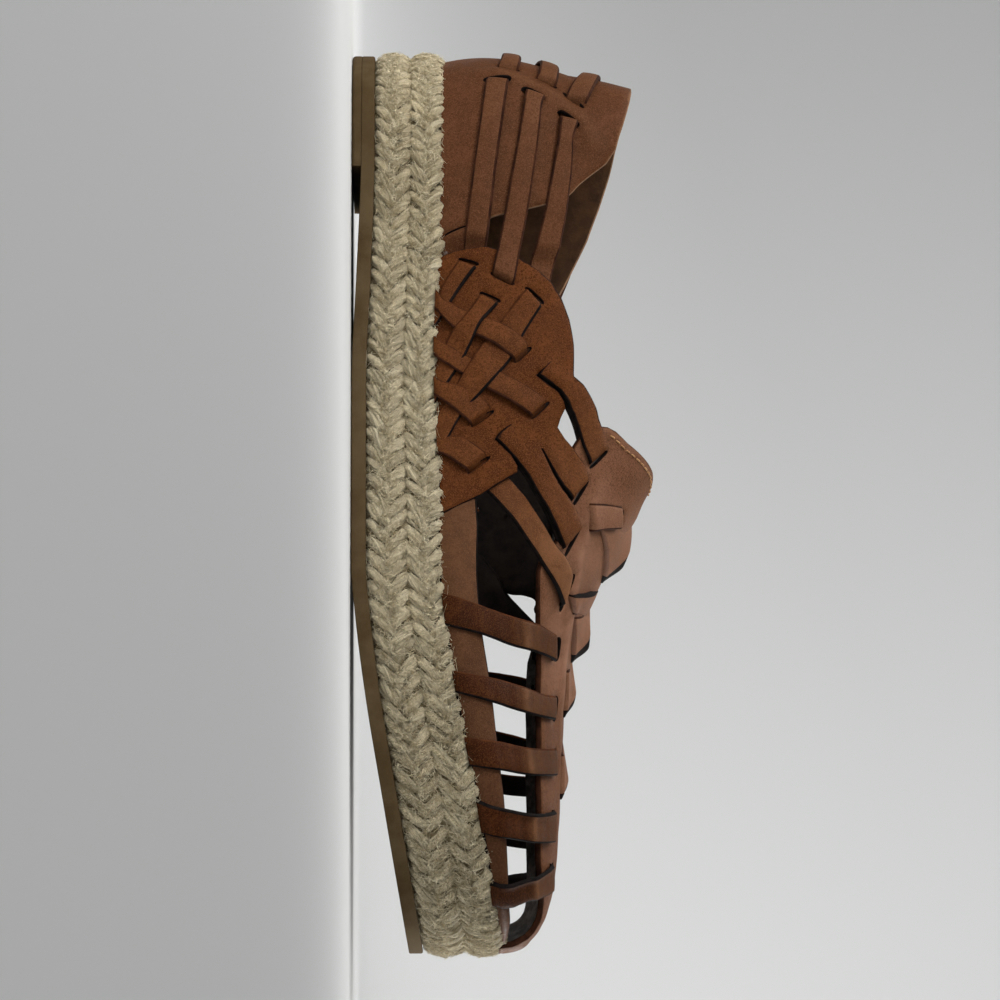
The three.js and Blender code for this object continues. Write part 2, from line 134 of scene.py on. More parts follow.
class Edge:
    """One side of the platform's outline, by the distance along it from the heel."""

    def __init__(self, side):
        self.side = side
        own, other = (1, 2) if side > 0 else (2, 1)
        pts = [(side * r[own], r[0]) for r in OUTLINE]
        far = [(-side * r[other], r[0]) for r in OUTLINE]
        full = np.array([far[2], far[1], *pts, far[-2], far[-3]], float)
        t = np.r_[0, np.cumsum(np.sqrt(np.linalg.norm(np.diff(full, axis=0), axis=1)))]
        h = np.diff(t)
        d = np.diff(full, axis=0) / h[:, None]
        m = np.zeros_like(full)
        m[1:-1] = (d[:-1] * h[1:, None] + d[1:] * h[:-1, None]) / (h[1:] + h[:-1])[:, None]
        tt = np.linspace(t[2], t[-3], 2001)
        i = np.clip(np.searchsorted(t, tt, side="right") - 1, 2, len(t) - 4)
        u = ((tt - t[i]) / h[i])[:, None]
        hh = h[i][:, None]
        u2, u3 = u * u, u * u * u
        p = (2 * u3 - 3 * u2 + 1) * full[i] + (u3 - 2 * u2 + u) * hh * m[i] + (3 * u2 - 2 * u3) * full[i + 1] + (u3 - u2) * hh * m[i + 1]
        self.run = np.r_[0, np.cumsum(np.linalg.norm(np.diff(p, axis=0), axis=1))]
        self.x, self.y = p[:, 0], p[:, 1]
        self.total = self.run[-1]

    def at(self, a):
        return np.stack([np.interp(a, self.run, self.x), np.interp(a, self.run, self.y)], -1)

    def normal(self, a):
        a = np.asarray(a, float)
        t = self.at(np.minimum(a + 0.4, self.total)) - self.at(np.maximum(a - 0.4, 0))
        n = np.stack([self.side * t[..., 1], -self.side * t[..., 0]], -1)
        n /= np.linalg.norm(n, axis=-1, keepdims=True)
        return np.where((a < 0.5)[..., None], np.array([0.0, -1.0]), n)

    def inset(self, a, d):
        return self.at(a) - self.normal(a) * np.asarray(d)[..., None]


LAT, MED = Edge(1), Edge(-1)
_lat_station = LAT.inset(LAT.run, np.full_like(LAT.run, FEATHER))[:, 1]
_med_station = MED.inset(MED.run, np.full_like(MED.run, FEATHER))[:, 1]
_med_run = np.interp(_lat_station, np.maximum.accumulate(_med_station), MED.run)


def last_side(edge, a, g):
    low = np.minimum(g, 0.0)
    g = np.clip(g, 0.0, 1.0)
    b = edge.inset(a, np.full_like(a, FEATHER))
    s = b[:, 1]
    base = jute_top(s) + GAP
    t = np.minimum(TIP, s + FAN_REACH * np.exp(-s / FAN_FADE))
    top = ridge_at(np.minimum(LENGTH, t + (LENGTH - TIP) * (np.maximum(s, 0) / TIP) ** 6))
    rx = TOE_OFFSET * np.clip((t - 150) / 100, 0, 1)
    p = 2 / power_at(s)
    phi = g * math.pi / 2
    f = np.sin(phi) ** p
    k = 1 - np.maximum(0, np.cos(phi)) ** p
    z = base + f * np.maximum(top - base, 0)
    swell = bulge_at(s) * np.sin(math.pi * np.clip((z - base) / BULGE_RISE, 0, 1))
    n = edge.normal(a)
    return np.stack([
        b[:, 0] + (rx - b[:, 0]) * k + n[:, 0] * swell,
        s + (t - s) * k + n[:, 1] * swell,
        z + low * 60,
    ], -1)


def last(run, g):
    """Points of the last, by signed run and girth (0 to 2)."""
    run, g = np.broadcast_arrays(np.asarray(run, float), np.asarray(g, float))
    shape = run.shape
    run, g = run.ravel(), g.ravel()
    side = np.where(run < 0, -1, 1) * np.where(g > 1, -1, 1)
    a = np.minimum(np.abs(run), LAT.total - 0.02)
    g = np.where(g > 1, 2 - g, g)
    out = np.empty((len(run), 3))
    lat = side > 0
    if lat.any():
        out[lat] = last_side(LAT, a[lat], g[lat])
    if (~lat).any():
        out[~lat] = last_side(MED, np.interp(a[~lat], LAT.run, _med_run), g[~lat])
    return out.reshape(*shape, 3)


def last_normal(run, g):
    run, g = np.asarray(run, float), np.asarray(g, float)
    du = last(run + 0.7, g) - last(run - 0.7, g)
    dv = last(run, g + 0.014) - last(run, g - 0.014)
    n = np.cross(du, dv)
    return n / np.maximum(np.linalg.norm(n, axis=-1, keepdims=True), 1e-9)


def skin(run, g, off):
    """Metres, in the row frame: a point that stands off the last by off millimetres."""
    p = last(run, g) + last_normal(run, g) * np.asarray(off, float)[..., None]
    return (p - ORIGIN) * 0.001


def medial(run, g=0.6):
    """The medial side's pattern sits further forward than the lateral side's, low down most."""
    f = np.interp(run, [64, 80, 145, 158, 184, 206, 222, 242, 262], [0, 6, 25, 25, 12.5, 12, 7, 4.5, 0])
    return run + np.where(f > 13, 13 + (f - 13) * ease([(0.30, 1), (0.50, 0)], g), f)


def ease(table, x):
    """Smooth steps through (x, y) pairs."""
    xs = np.array([r[0] for r in table], float)
    ys = np.array([r[1] for r in table], float)
    x = np.asarray(x, float)
    i = np.clip(np.searchsorted(xs, x, side="right") - 1, 0, len(xs) - 2)
    t = np.clip((x - xs[i]) / (xs[i + 1] - xs[i]), 0, 1)
    t = t * t * (3 - 2 * t)
    return ys[i] * (1 - t) + ys[i + 1] * t


# ------------------------------------------------------------------ materials
def new_material(name):
    m = bpy.data.materials.new(name)
    m.use_nodes = True
    t = m.node_tree
    t.nodes.clear()
    out = t.nodes.new("ShaderNodeOutputMaterial")
    b = t.nodes.new("ShaderNodeBsdfPrincipled")
    t.links.new(b.outputs["BSDF"], out.inputs["Surface"])
    return m, t, b


def node(t, kind, **values):
    n = t.nodes.new(kind)
    for k, v in values.items():
        if k in n.inputs:
            n.inputs[k].default_value = v
        else:
            setattr(n, k, v)
    return n


def noise(t, vector, scale, detail=3.0, rough=0.55, distortion=0.0):
    n = node(t, "ShaderNodeTexNoise", Scale=scale, Detail=detail, Roughness=rough, Distortion=distortion)
    t.links.new(vector, n.inputs["Vector"])
    return n.outputs["Fac"]


def ramp(t, value, low, high, to_low=0.0, to_high=1.0):
    n = node(t, "ShaderNodeMapRange", interpolation_type="SMOOTHSTEP")
    n.inputs["From Min"].default_value = low
    n.inputs["From Max"].default_value = high
    n.inputs["To Min"].default_value = to_low
    n.inputs["To Max"].default_value = to_high
    t.links.new(value, n.inputs["Value"])
    return n.outputs["Result"]


def math_node(t, op, a, b):
    n = node(t, "ShaderNodeMath", operation=op)
    for i, v in enumerate((a, b)):
        if isinstance(v, (int, float)):
            n.inputs[i].default_value = v
        else:
            t.links.new(v, n.inputs[i])
    return n.outputs[0]


def mix(t, fac, a, b):
    n = node(t, "ShaderNodeMix", data_type="RGBA")
    for key, v in (("Factor", fac), ("A", a), ("B", b)):
        s = next(i for i in n.inputs if i.name == key and i.type == ("VALUE" if key == "Factor" else "RGBA"))
        if isinstance(v, tuple):
            s.default_value = (*v, 1.0)
        elif isinstance(v, (int, float)):
            s.default_value = v
        else:
            t.links.new(v, s)
    return next(o for o in n.outputs if o.type == "RGBA")


def attribute(t, name):
    return node(t, "ShaderNodeAttribute", attribute_name=name).outputs["Fac"]


def bump(t, b, height, strength, distance):
    n = node(t, "ShaderNodeBump", Strength=strength, Distance=distance)
    t.links.new(height, n.inputs["Height"])
    t.links.new(n.outputs["Normal"], b.inputs["Normal"])
    return n


def leather_material(name, deep, mid, light, tan, edge, edge_from, edge_to, grain=0.5):
    """Smooth brown leather: mottled tone, fine speckle, paler by the pale attribute (wear in places, painted highlight
    and sheen in others), painted or raw rim.
    """
    m, t, b = new_material(name)
    at = node(t, "ShaderNodeTexCoord").outputs["Object"]
    broad = noise(t, at, 38, 5, 0.6)
    patch = noise(t, at, 190, 4, 0.6, 0.6)
    speck = noise(t, at, 1500, 2, 0.5)
    fine = noise(t, at, 3600, 2, 0.6)
    c = mix(t, ramp(t, broad, 0.36, 0.66), deep, mid)
    c = mix(t, ramp(t, patch, 0.42, 0.72, 0.0, 0.55), c, light)
    c = mix(t, ramp(t, speck, 0.48, 0.61, 0.0, 1.0), c, deep)
    c = mix(t, ramp(t, fine, 0.50, 0.63, 0.0, 0.95), c, light)
    # The pale attribute lightens towards tan: partly wear, partly painted highlight and sheen on ridges, folds and
    # loops.
    wear_and_sheen = math_node(t, "MULTIPLY", attribute(t, "pale"), ramp(t, patch, 0.25, 0.6, 0.55, 1.0))
    c = mix(t, wear_and_sheen, c, tan)
    rim = math_node(t, "ADD", attribute(t, "rim"), ramp(t, patch, 0.3, 0.7, -0.12, 0.12))
    c = mix(t, ramp(t, rim, edge_from, edge_to), c, edge)
    t.links.new(c, b.inputs["Base Color"])
    t.links.new(ramp(t, patch, 0.3, 0.7, 0.46, 0.62), b.inputs["Roughness"])
    pores = node(t, "ShaderNodeTexVoronoi", Scale=2100.0, feature="DISTANCE_TO_EDGE")
    t.links.new(at, pores.inputs["Vector"])
    hgt = math_node(t, "ADD", math_node(t, "MULTIPLY", ramp(t, pores.outputs["Distance"], 0.0, 0.25), 0.5), math_node(t, "MULTIPLY", speck, 0.8))
    hgt = math_node(t, "ADD", hgt, math_node(t, "MULTIPLY", patch, 2.2))
    bump(t, b, hgt, grain, 0.00016)
    b.inputs["Specular IOR Level"].default_value = 0.045
    return m


def plain_material(name, dark, light, scale, rough, bump_scale, strength, distance, stretch=None, spec=0.35):
    m, t, b = new_material(name)
    at = node(t, "ShaderNodeTexCoord").outputs["Object"]
    a = noise(t, at, scale, 5, 0.6)
    f = noise(t, at, bump_scale, 3, 0.6)
    c = mix(t, ramp(t, a, 0.35, 0.68), dark, light)
    c = mix(t, ramp(t, f, 0.5, 0.75, 0.0, 0.35), c, light)
    c = mix(t, ramp(t, f, 0.28, 0.48, 0.3, 0.0), c, dark)
    t.links.new(c, b.inputs["Base Color"])
    t.links.new(ramp(t, a, 0.3, 0.7, rough - 0.06, rough + 0.06), b.inputs["Roughness"])
    bump(t, b, f, strength, distance)
    b.inputs["Specular IOR Level"].default_value = spec
    return m


def suede_material(name):
    """Napped grey lining, with painted light: paler at the toe, where light comes in, than behind it."""
    m, t, b = new_material(name)
    at = node(t, "ShaderNodeTexCoord").outputs["Object"]
    cut = node(t, "ShaderNodeSeparateXYZ")
    t.links.new(at, cut.inputs["Vector"])
    a = noise(t, at, 300, 5, 0.6)
    f = noise(t, at, 1100, 3, 0.6)
    low = mix(t, ramp(t, a, 0.35, 0.68), (0.060, 0.058, 0.056), (0.150, 0.147, 0.143))
    high = mix(t, ramp(t, a, 0.35, 0.68), (0.34, 0.337, 0.328), (0.70, 0.692, 0.68))
    # Painted light: the lining turns pale towards the toe.
    c = mix(t, ramp(t, cut.outputs["Y"], 0.100, 0.115), low, high)
    c = mix(t, ramp(t, f, 0.28, 0.48, 0.35, 0.0), c, (0.05, 0.049, 0.047))
    t.links.new(c, b.inputs["Base Color"])
    t.links.new(ramp(t, a, 0.3, 0.7, 0.88, 1.0), b.inputs["Roughness"])
    bump(t, b, f, 0.9, 0.0004)
    b.inputs["Specular IOR Level"].default_value = 0.15
    return m


TAN = (0.30, 0.145, 0.07)

m_rim = leather_material("rim_leather", (0.046, 0.0185, 0.0082), (0.067, 0.0268, 0.0120), (0.107, 0.046, 0.0215), TAN, (0.030, 0.012, 0.006), 0.90, 1.02)
# The toe straps' leather is a darker copy of the panel leather: painted shade for the dimmer light at the toe.
m_strap_shaded = leather_material("toe_strap_leather_shaded", (0.025, 0.0068, 0.0016), (0.044, 0.0122, 0.0031), (0.090, 0.0290, 0.0085), TAN, (0.012, 0.006, 0.004), 0.84, 1.0)
m_panel = leather_material("panel_leather", (0.058, 0.0166, 0.0038), (0.095, 0.0286, 0.0071), (0.150, 0.0495, 0.0150), TAN, (0.032, 0.012, 0.005), 0.90, 1.02)
m_counter = leather_material("counter_leather", (0.070, 0.0255, 0.0097), (0.103, 0.0387, 0.0161), (0.137, 0.0565, 0.0270), TAN, (0.17, 0.08, 0.038), 0.82, 1.08, 0.4)
m_spine = leather_material("spine_leather", (0.090, 0.0340, 0.0145), (0.142, 0.0580, 0.0270), (0.195, 0.088, 0.0460), (0.34, 0.175, 0.11), (0.085, 0.031, 0.012), 0.82, 1.05, 0.45)
m_edge = plain_material("dark_edge", (0.005, 0.0038, 0.0034), (0.014, 0.010, 0.009), 400, 0.8, 1800, 0.5, 0.0002, spec=0.05)
m_raw = plain_material("raw_edge", (0.16, 0.085, 0.045), (0.28, 0.16, 0.09), 300, 0.8, 1500, 0.5, 0.0002, spec=0.1)
m_red = plain_material("red_edge", (0.024, 0.009, 0.005), (0.060, 0.022, 0.011), 350, 0.8, 1500, 0.5, 0.0002, spec=0.05)
m_lining = plain_material("lining", (0.007, 0.0045, 0.004), (0.020, 0.014, 0.011), 260, 0.85, 1300, 0.6, 0.0003, spec=0.2)
m_brown = plain_material("brown_edge", (0.045, 0.0145, 0.005), (0.085, 0.028, 0.010), 350, 0.8, 1500, 0.5, 0.0002, spec=0.04)
m_flesh = plain_material("flesh_side", (0.038, 0.0165, 0.0065), (0.072, 0.034, 0.0145), 160, 0.9, 1200, 0.7, 0.0003, spec=0.2)
m_suede = suede_material("grey_suede")
m_footbed = plain_material("footbed_leather", (0.055, 0.03, 0.019), (0.105, 0.06, 0.038), 45, 0.6, 1500, 0.4, 0.0002)
m_thread = plain_material("thread", (0.34, 0.16, 0.06), (0.52, 0.29, 0.13), 500, 0.75, 4000, 0.5, 0.0002)
m_rubber = plain_material("sole_rubber", (0.068, 0.044, 0.0202), (0.103, 0.072, 0.0376), 70, 0.85, 2600, 0.25, 0.00012, spec=0.03)
m_core = plain_material("jute_core", (0.14, 0.11, 0.065), (0.30, 0.245, 0.15), 600, 0.95, 1500, 0.8, 0.0006, spec=0.1)


def jute_material(name, gain=1.0):
    """Twisted bast fibre: tone by yarn, streaks along it; painted light along the middle, painted shade and highlights
    towards the toe, tone flattened at the heel.
    """
    m, t, b = new_material(name)
    uv = node(t, "ShaderNodeUVMap", uv_map="yarn").outputs["UV"]
    at = node(t, "ShaderNodeTexCoord").outputs["Object"]
    squeeze = node(t, "ShaderNodeMapping")
    squeeze.inputs["Scale"].default_value = (0.7, 7.0, 1.0)
    t.links.new(uv, squeeze.inputs["Vector"])
    streak = noise(t, squeeze.outputs["Vector"], 1.6, 6, 0.78, 0.6)
    broad = noise(t, at, 60, 3, 0.6)
    tone = attribute(t, "tone")
    dark, mid, pale = [tuple(v * gain for v in c) for c in ((0.26, 0.203, 0.110), (0.73, 0.617, 0.392), (0.93, 0.83, 0.60))]
    c = mix(t, ramp(t, streak, 0.36, 0.56), dark, mid)
    c = mix(t, ramp(t, streak, 0.52, 0.68), c, pale)
    c = mix(t, ramp(t, tone, 0.40, 0.95, 0.0, 0.75), c, pale)
    c = mix(t, ramp(t, tone, 0.0, 0.42, 0.72, 0.0), c, dark)
    c = mix(t, ramp(t, broad, 0.4, 0.75, 0.0, 0.25), c, dark)
    cut = node(t, "ShaderNodeSeparateXYZ")
    t.links.new(at, cut.inputs["Vector"])
    # Painted light: paler along the middle of the platform.
    painted_light_middle = math_node(t, "MULTIPLY", ramp(t, cut.outputs["Y"], -0.085, -0.03, 0.0, 0.30), ramp(t, cut.outputs["Y"], 0.03, 0.075, 1.0, 0.0))
    c = mix(t, painted_light_middle, c, pale)
    toe = ramp(t, cut.outputs["Y"], 0.03, 0.08)     # painted shade between the strands and painted highlights on them, towards the toe
    c = mix(t, math_node(t, "MULTIPLY", toe, ramp(t, streak, 0.40, 0.52, 0.4, 0.0)), c, tuple(0.45 * v for v in dark))
    c = mix(t, math_node(t, "MULTIPLY", toe, ramp(t, streak, 0.50, 0.60, 0.0, 0.6)), c, pale)
    # Painted light: at the heel the tone is pulled towards mid, softening the shade between strands.
    c = mix(t, ramp(t, cut.outputs["Y"], -0.10, -0.04, 0.4, 0.0), c, tuple(0.92 * v for v in mid))
    t.links.new(c, b.inputs["Base Color"])
    b.inputs["Roughness"].default_value = 0.82
    b.inputs["Specular IOR Level"].default_value = 0.22
    b.inputs["Sheen Weight"].default_value = 0.18
    b.inputs["Sheen Roughness"].default_value = 0.5
    bump(t, b, streak, 1.0, 0.0006)
    return m


m_jute = jute_material("jute_yarn")
m_fibre = plain_material("jute_fibre", (0.40, 0.32, 0.18), (0.92, 0.83, 0.61), 420, 0.7, 1500, 0.2, 0.0001)


# ------------------------------------------------------------------ mesh tools
def make(name, verts, faces, mats, index, attrs=None, uv=None, node_name=None, recalc=True):
    me = bpy.data.meshes.new(name)
    me.from_pydata(np.asarray(verts).tolist(), [], faces)
    for m in mats:
        me.materials.append(m)
    me.polygons.foreach_set("material_index", np.asarray(index, np.int32))
    me.polygons.foreach_set("use_smooth", np.ones(len(me.polygons), bool))
    for key, values in (attrs or {}).items():
        a = me.attributes.new(key, "FLOAT", "POINT")
        a.data.foreach_set("value", np.asarray(values, np.float32))
    if uv is not None:
        layer = me.uv_layers.new(name="yarn")
        loops = np.empty(len(me.loops), np.int32)
        me.loops.foreach_get("vertex_index", loops)
        layer.data.foreach_set("uv", np.asarray(uv, np.float32)[loops].ravel())
    if recalc:
        bm = bmesh.new()
        bm.from_mesh(me)
        bmesh.ops.recalc_face_normals(bm, faces=bm.faces)
        bm.to_mesh(me)
        bm.free()
    me.update()
    ob = bpy.data.objects.new(name, me)
    scene.collection.objects.link(ob)
    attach(ob, "root")
    if node_name:
        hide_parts(node_name)
    return ob


class Bag:
    """Shells gathered into one piece."""

    def __init__(self):
        self.v, self.f, self.m, self.a = [], [], [], {"rim": [], "pale": []}
        self.n = 0

    def add(self, v, f, m, rim, pale):
        self.v.append(v)
        self.f += [tuple(i + self.n for i in face) for face in f]
        self.m += list(m)
        self.a["rim"].append(rim)
        self.a["pale"].append(pale)
        self.n += len(v)

    def make(self, name, mats, node_name="upper", slot="leather"):
        return make(name, np.vstack(self.v), self.f, mats, self.m, {k: np.concatenate(x) for k, x in self.a.items()}, node_name=node_name)


def path(points, n, k=90.0):
    """n points on a smooth curve through (run, girth%) points, evenly spaced."""
    p = np.array(points, float)
    p[:, 1] *= 0.01
    q = p * [1, k]
    if len(p) == 2:
        t = np.linspace(0, 1, n)[:, None]
        return p[0] * (1 - t) + p[1] * t
    c = np.r_[0, np.cumsum(np.linalg.norm(np.diff(q, axis=0), axis=1))]
    h = np.diff(c)
    d = np.diff(p, axis=0) / h[:, None]
    m = np.empty_like(p)
    m[0], m[-1] = d[0], d[-1]
    m[1:-1] = (d[:-1] * h[1:, None] + d[1:] * h[:-1, None]) / (h[1:] + h[:-1])[:, None]
    x = np.linspace(0, c[-1], n)
    i = np.clip(np.searchsorted(c, x, side="right") - 1, 0, len(c) - 2)
    u = ((x - c[i]) / h[i])[:, None]
    hh = h[i][:, None]
    u2, u3 = u * u, u * u * u
    return (2 * u3 - 3 * u2 + 1) * p[i] + (u3 - 2 * u2 + u) * hh * m[i] + (3 * u2 - 2 * u3) * p[i + 1] + (u3 - u2) * hh * m[i + 1]


def extend(points, k, start, end):
    """Edge line carried on straight at either end by some millimetres."""
    q = np.array(points, float) * [1, 0.01 * k]
    out = [tuple(p) for p in points]
    if start:
        d = q[0] - q[1]
        e = q[0] + d / np.linalg.norm(d) * start
        out.insert(0, (e[0], e[1] * 100 / k))
    if end:
        d = q[-1] - q[-2]
        e = q[-1] + d / np.linalg.norm(d) * end
        out.append((e[0], e[1] * 100 / k))
    return out


def ribbon(bag, left, right, off, thick=1.3, crown=0.22, tilt=0.0, step=1.1, across=6, pale=None, sign=1, by="t", k=90.0, wave=0.0, curl=None,
           dive=(0, 0), deep=-1.8, plunge=2.0, bevel=(0.0, 0.0), base=None, remap=None, low_mat=1, high_mat=1, dark=(0, 0)):
    """A strap on the last between two edge lines. off is its stand-off along the strap (by
    "t", 0 to 1), or by run or girth. sign -1 puts it on the medial side. dive says which
    ends go down into a slit; bevel is how far each side's cut edge slants out below."""
    left, right = extend(left, k, 0.8 * dive[0], 0.8 * dive[1]), extend(right, k, 0.8 * dive[0], 0.8 * dive[1])
    probe_l, probe_r = path(left, 40, k), path(right, 40, k)
    length = max(np.linalg.norm(np.diff(last(q[:, 0], q[:, 1]), axis=0), axis=1).sum() for q in (probe_l, probe_r))
    n = max(10, int(length / step))
    t = np.linspace(0, 1, n)
    if any(dive):   # closer rows where the strap bends down
        t = t - 0.10 * np.sin(2 * math.pi * t) if all(dive) else (t - 0.08 * np.sin(math.pi * t) if dive[0] else t + 0.08 * np.sin(math.pi * t))
    dense_l, dense_r = path(left, 400, k), path(right, 400, k)
    tt = np.linspace(0, 1, 400)
    el = np.stack([np.interp(t, tt, dense_l[:, i]) for i in (0, 1)], -1)
    er = np.stack([np.interp(t, tt, dense_r[:, i]) for i in (0, 1)], -1)
    mid = (el + er) / 2
    key = {"t": t, "run": np.abs(mid[:, 0]), "girth": mid[:, 1] * 100}[by]
    o = ease(off, key)
    if base is not None:
        o = o + base(mid)
    pos = last(mid[:, 0], mid[:, 1])
    s = np.r_[0, np.cumsum(np.linalg.norm(np.diff(pos, axis=0), axis=1))]
    sink = np.ones(n)
    if dive[0]:
        sink = np.minimum(sink, ease([(0.1, 0), (0.1 + plunge, 1)], s))
    if dive[1]:
        sink = np.minimum(sink, ease([(0.1, 0), (0.1 + plunge, 1)], s[-1] - s))
    o = deep + (o - deep) * sink
    width = np.linalg.norm(last(el[:, 0], el[:, 1]) - last(er[:, 0], er[:, 1]), axis=1)
    r = np.minimum(0.5, 0.22 * width) / np.maximum(width, 0.1)
    half = thick / 2
    loop = []   # side, across position, height, how far slanted, class
    for j in range(across + 1):
        loop.append(("in", j / across, half, 0, 0))
    loop += [("hi", 0.3, half * 0.72, 0.1, high_mat), ("hi", 0.0, half * 0.25, 0.55, high_mat), ("hi", 0.0, -half * 0.25, 0.95, high_mat), ("hi", 0.3, -half * 0.72, 1.0, high_mat)]
    low = max(2, across // 2)
    for j in range(low, -1, -1):
        loop.append(("in", j / low, -half, 0, 2))
    loop += [("lo", 0.3, -half * 0.72, 1.0, low_mat), ("lo", 0.0, -half * 0.25, 0.95, low_mat), ("lo", 0.0, half * 0.25, 0.55, low_mat), ("lo", 0.3, half * 0.72, 0.1, low_mat)]
    c = len(loop)
    V, R, P = np.empty((n, c, 3)), np.empty((n, c)), np.empty((n, c))
    tl = ease(tilt, key) if isinstance(tilt, (list, tuple)) else np.full(n, float(tilt))
    pl = ease(pale, key) if pale else np.zeros(n)
    cut_lo, cut_hi = [ease(c_, key) if isinstance(c_, (list, tuple)) else c_ for c_ in bevel]
    for j, (where, a, hgt, slant, kind) in enumerate(loop):
        v = {"in": r + (1 - 2 * r) * a, "hi": 1 - r * a + slant * cut_hi / width, "lo": r * a - slant * cut_lo / width}[where]
        q = el * (1 - v)[:, None] + er * v[:, None]
        hh = o + (tl * (v - 0.5) + crown * (1 - (2 * v - 1) ** 2)) * sink + hgt
        if curl is not None:
            hh = hh + curl(t, v)
        if wave:
            hh = hh + wave * np.sin(t * 17 + v * 2.1) * np.sin(t * 5.3 + 1.1)
        run = q[:, 0]
        if remap is not None:
            run = remap(run, q[:, 1])
        elif sign < 0:
            run = medial(run, q[:, 1])
        V[:, j] = skin(sign * run, q[:, 1], hh)
        d = np.minimum(v, 1 - v) * width
        R[:, j] = np.clip(1 - d / 1.6, 0, 1) if kind == 0 else 1.0
        P[:, j] = pl
    faces, mats = [], []
    for i in range(n - 1):
        for j in range(c):
            j2 = (j + 1) % c
            faces.append((i * c + j, i * c + j2, (i + 1) * c + j2, (i + 1) * c + j))
            a, b = loop[j][4], loop[j2][4]
            m = a if a == b else next(m for m in (a, b) if m not in (0, 2))
            # dark: an end that goes down into a slit is coloured black, painted shade in the slit.
            mats.append(1 if dark[int(2 * i > n)] and min(sink[i], sink[i + 1]) < 0.8 else m)
    faces.append(tuple(range(c)))
    faces.append(tuple((n - 1) * c + j for j in range(c)))
    mats += [1, 1]
    bag.add(V.reshape(-1, 3), faces, mats, R.ravel(), P.ravel())


def inside(poly, pts):
    x, y = pts[:, 0], pts[:, 1]
    hit = np.zeros(len(pts), bool)
    a = poly
    b = np.roll(poly, -1, axis=0)
    for (x0, y0), (x1, y1) in zip(a, b):
        cross = (y0 > y) != (y1 > y)
        with np.errstate(divide="ignore", invalid="ignore"):
            hit ^= cross & (x < (x1 - x0) * (y - y0) / (y1 - y0) + x0)
    return hit


def gap_to(lines, pts):
    """Distance from points to the nearest of some closed or open lines."""
    best = np.full(len(pts), 1e9)
    for line, closed in lines:
        a = line if closed else line[:-1]
        b = np.roll(line, -1, axis=0) if closed else line[1:]
        for p, q in zip(a, b):
            d = q - p
            l2 = max(d @ d, 1e-12)
            t = np.clip(((pts - p) @ d) / l2, 0, 1)
            best = np.minimum(best, np.linalg.norm(pts - p - t[:, None] * d, axis=1))
    return best


def resample(poly, step, closed=True):
    out = []
    n = len(poly)
    for i in range(n if closed else n - 1):
        p, q = poly[i], poly[(i + 1) % n]
        k = max(1, int(round(np.linalg.norm(q - p) / step)))
        for j in range(k):
            out.append(p + (q - p) * j / k)
    if not closed:
        out.append(poly[-1])
    return np.array(out)


def slit(p, q, wide, k, reach=0.0, n=14):
    """A long thin hole between two (run, girth%) points."""
    p, q = np.array(p, float) * [1, 0.01 * k], np.array(q, float) * [1, 0.01 * k]
    c, d = (p + q) / 2, (q - p) / 2
    l = np.linalg.norm(d)
    d = d / l
    e = np.array([-d[1], d[0]])
    a = np.linspace(0, 2 * math.pi, n, endpoint=False)
    ca, sa = np.cos(a), np.sin(a)
    along_ = np.sign(ca) * np.abs(ca) ** 0.6 * (l + reach)
    cross = np.sign(sa) * np.abs(sa) ** 0.8 * wide / 2
    return c + along_[:, None] * d + cross[:, None] * e


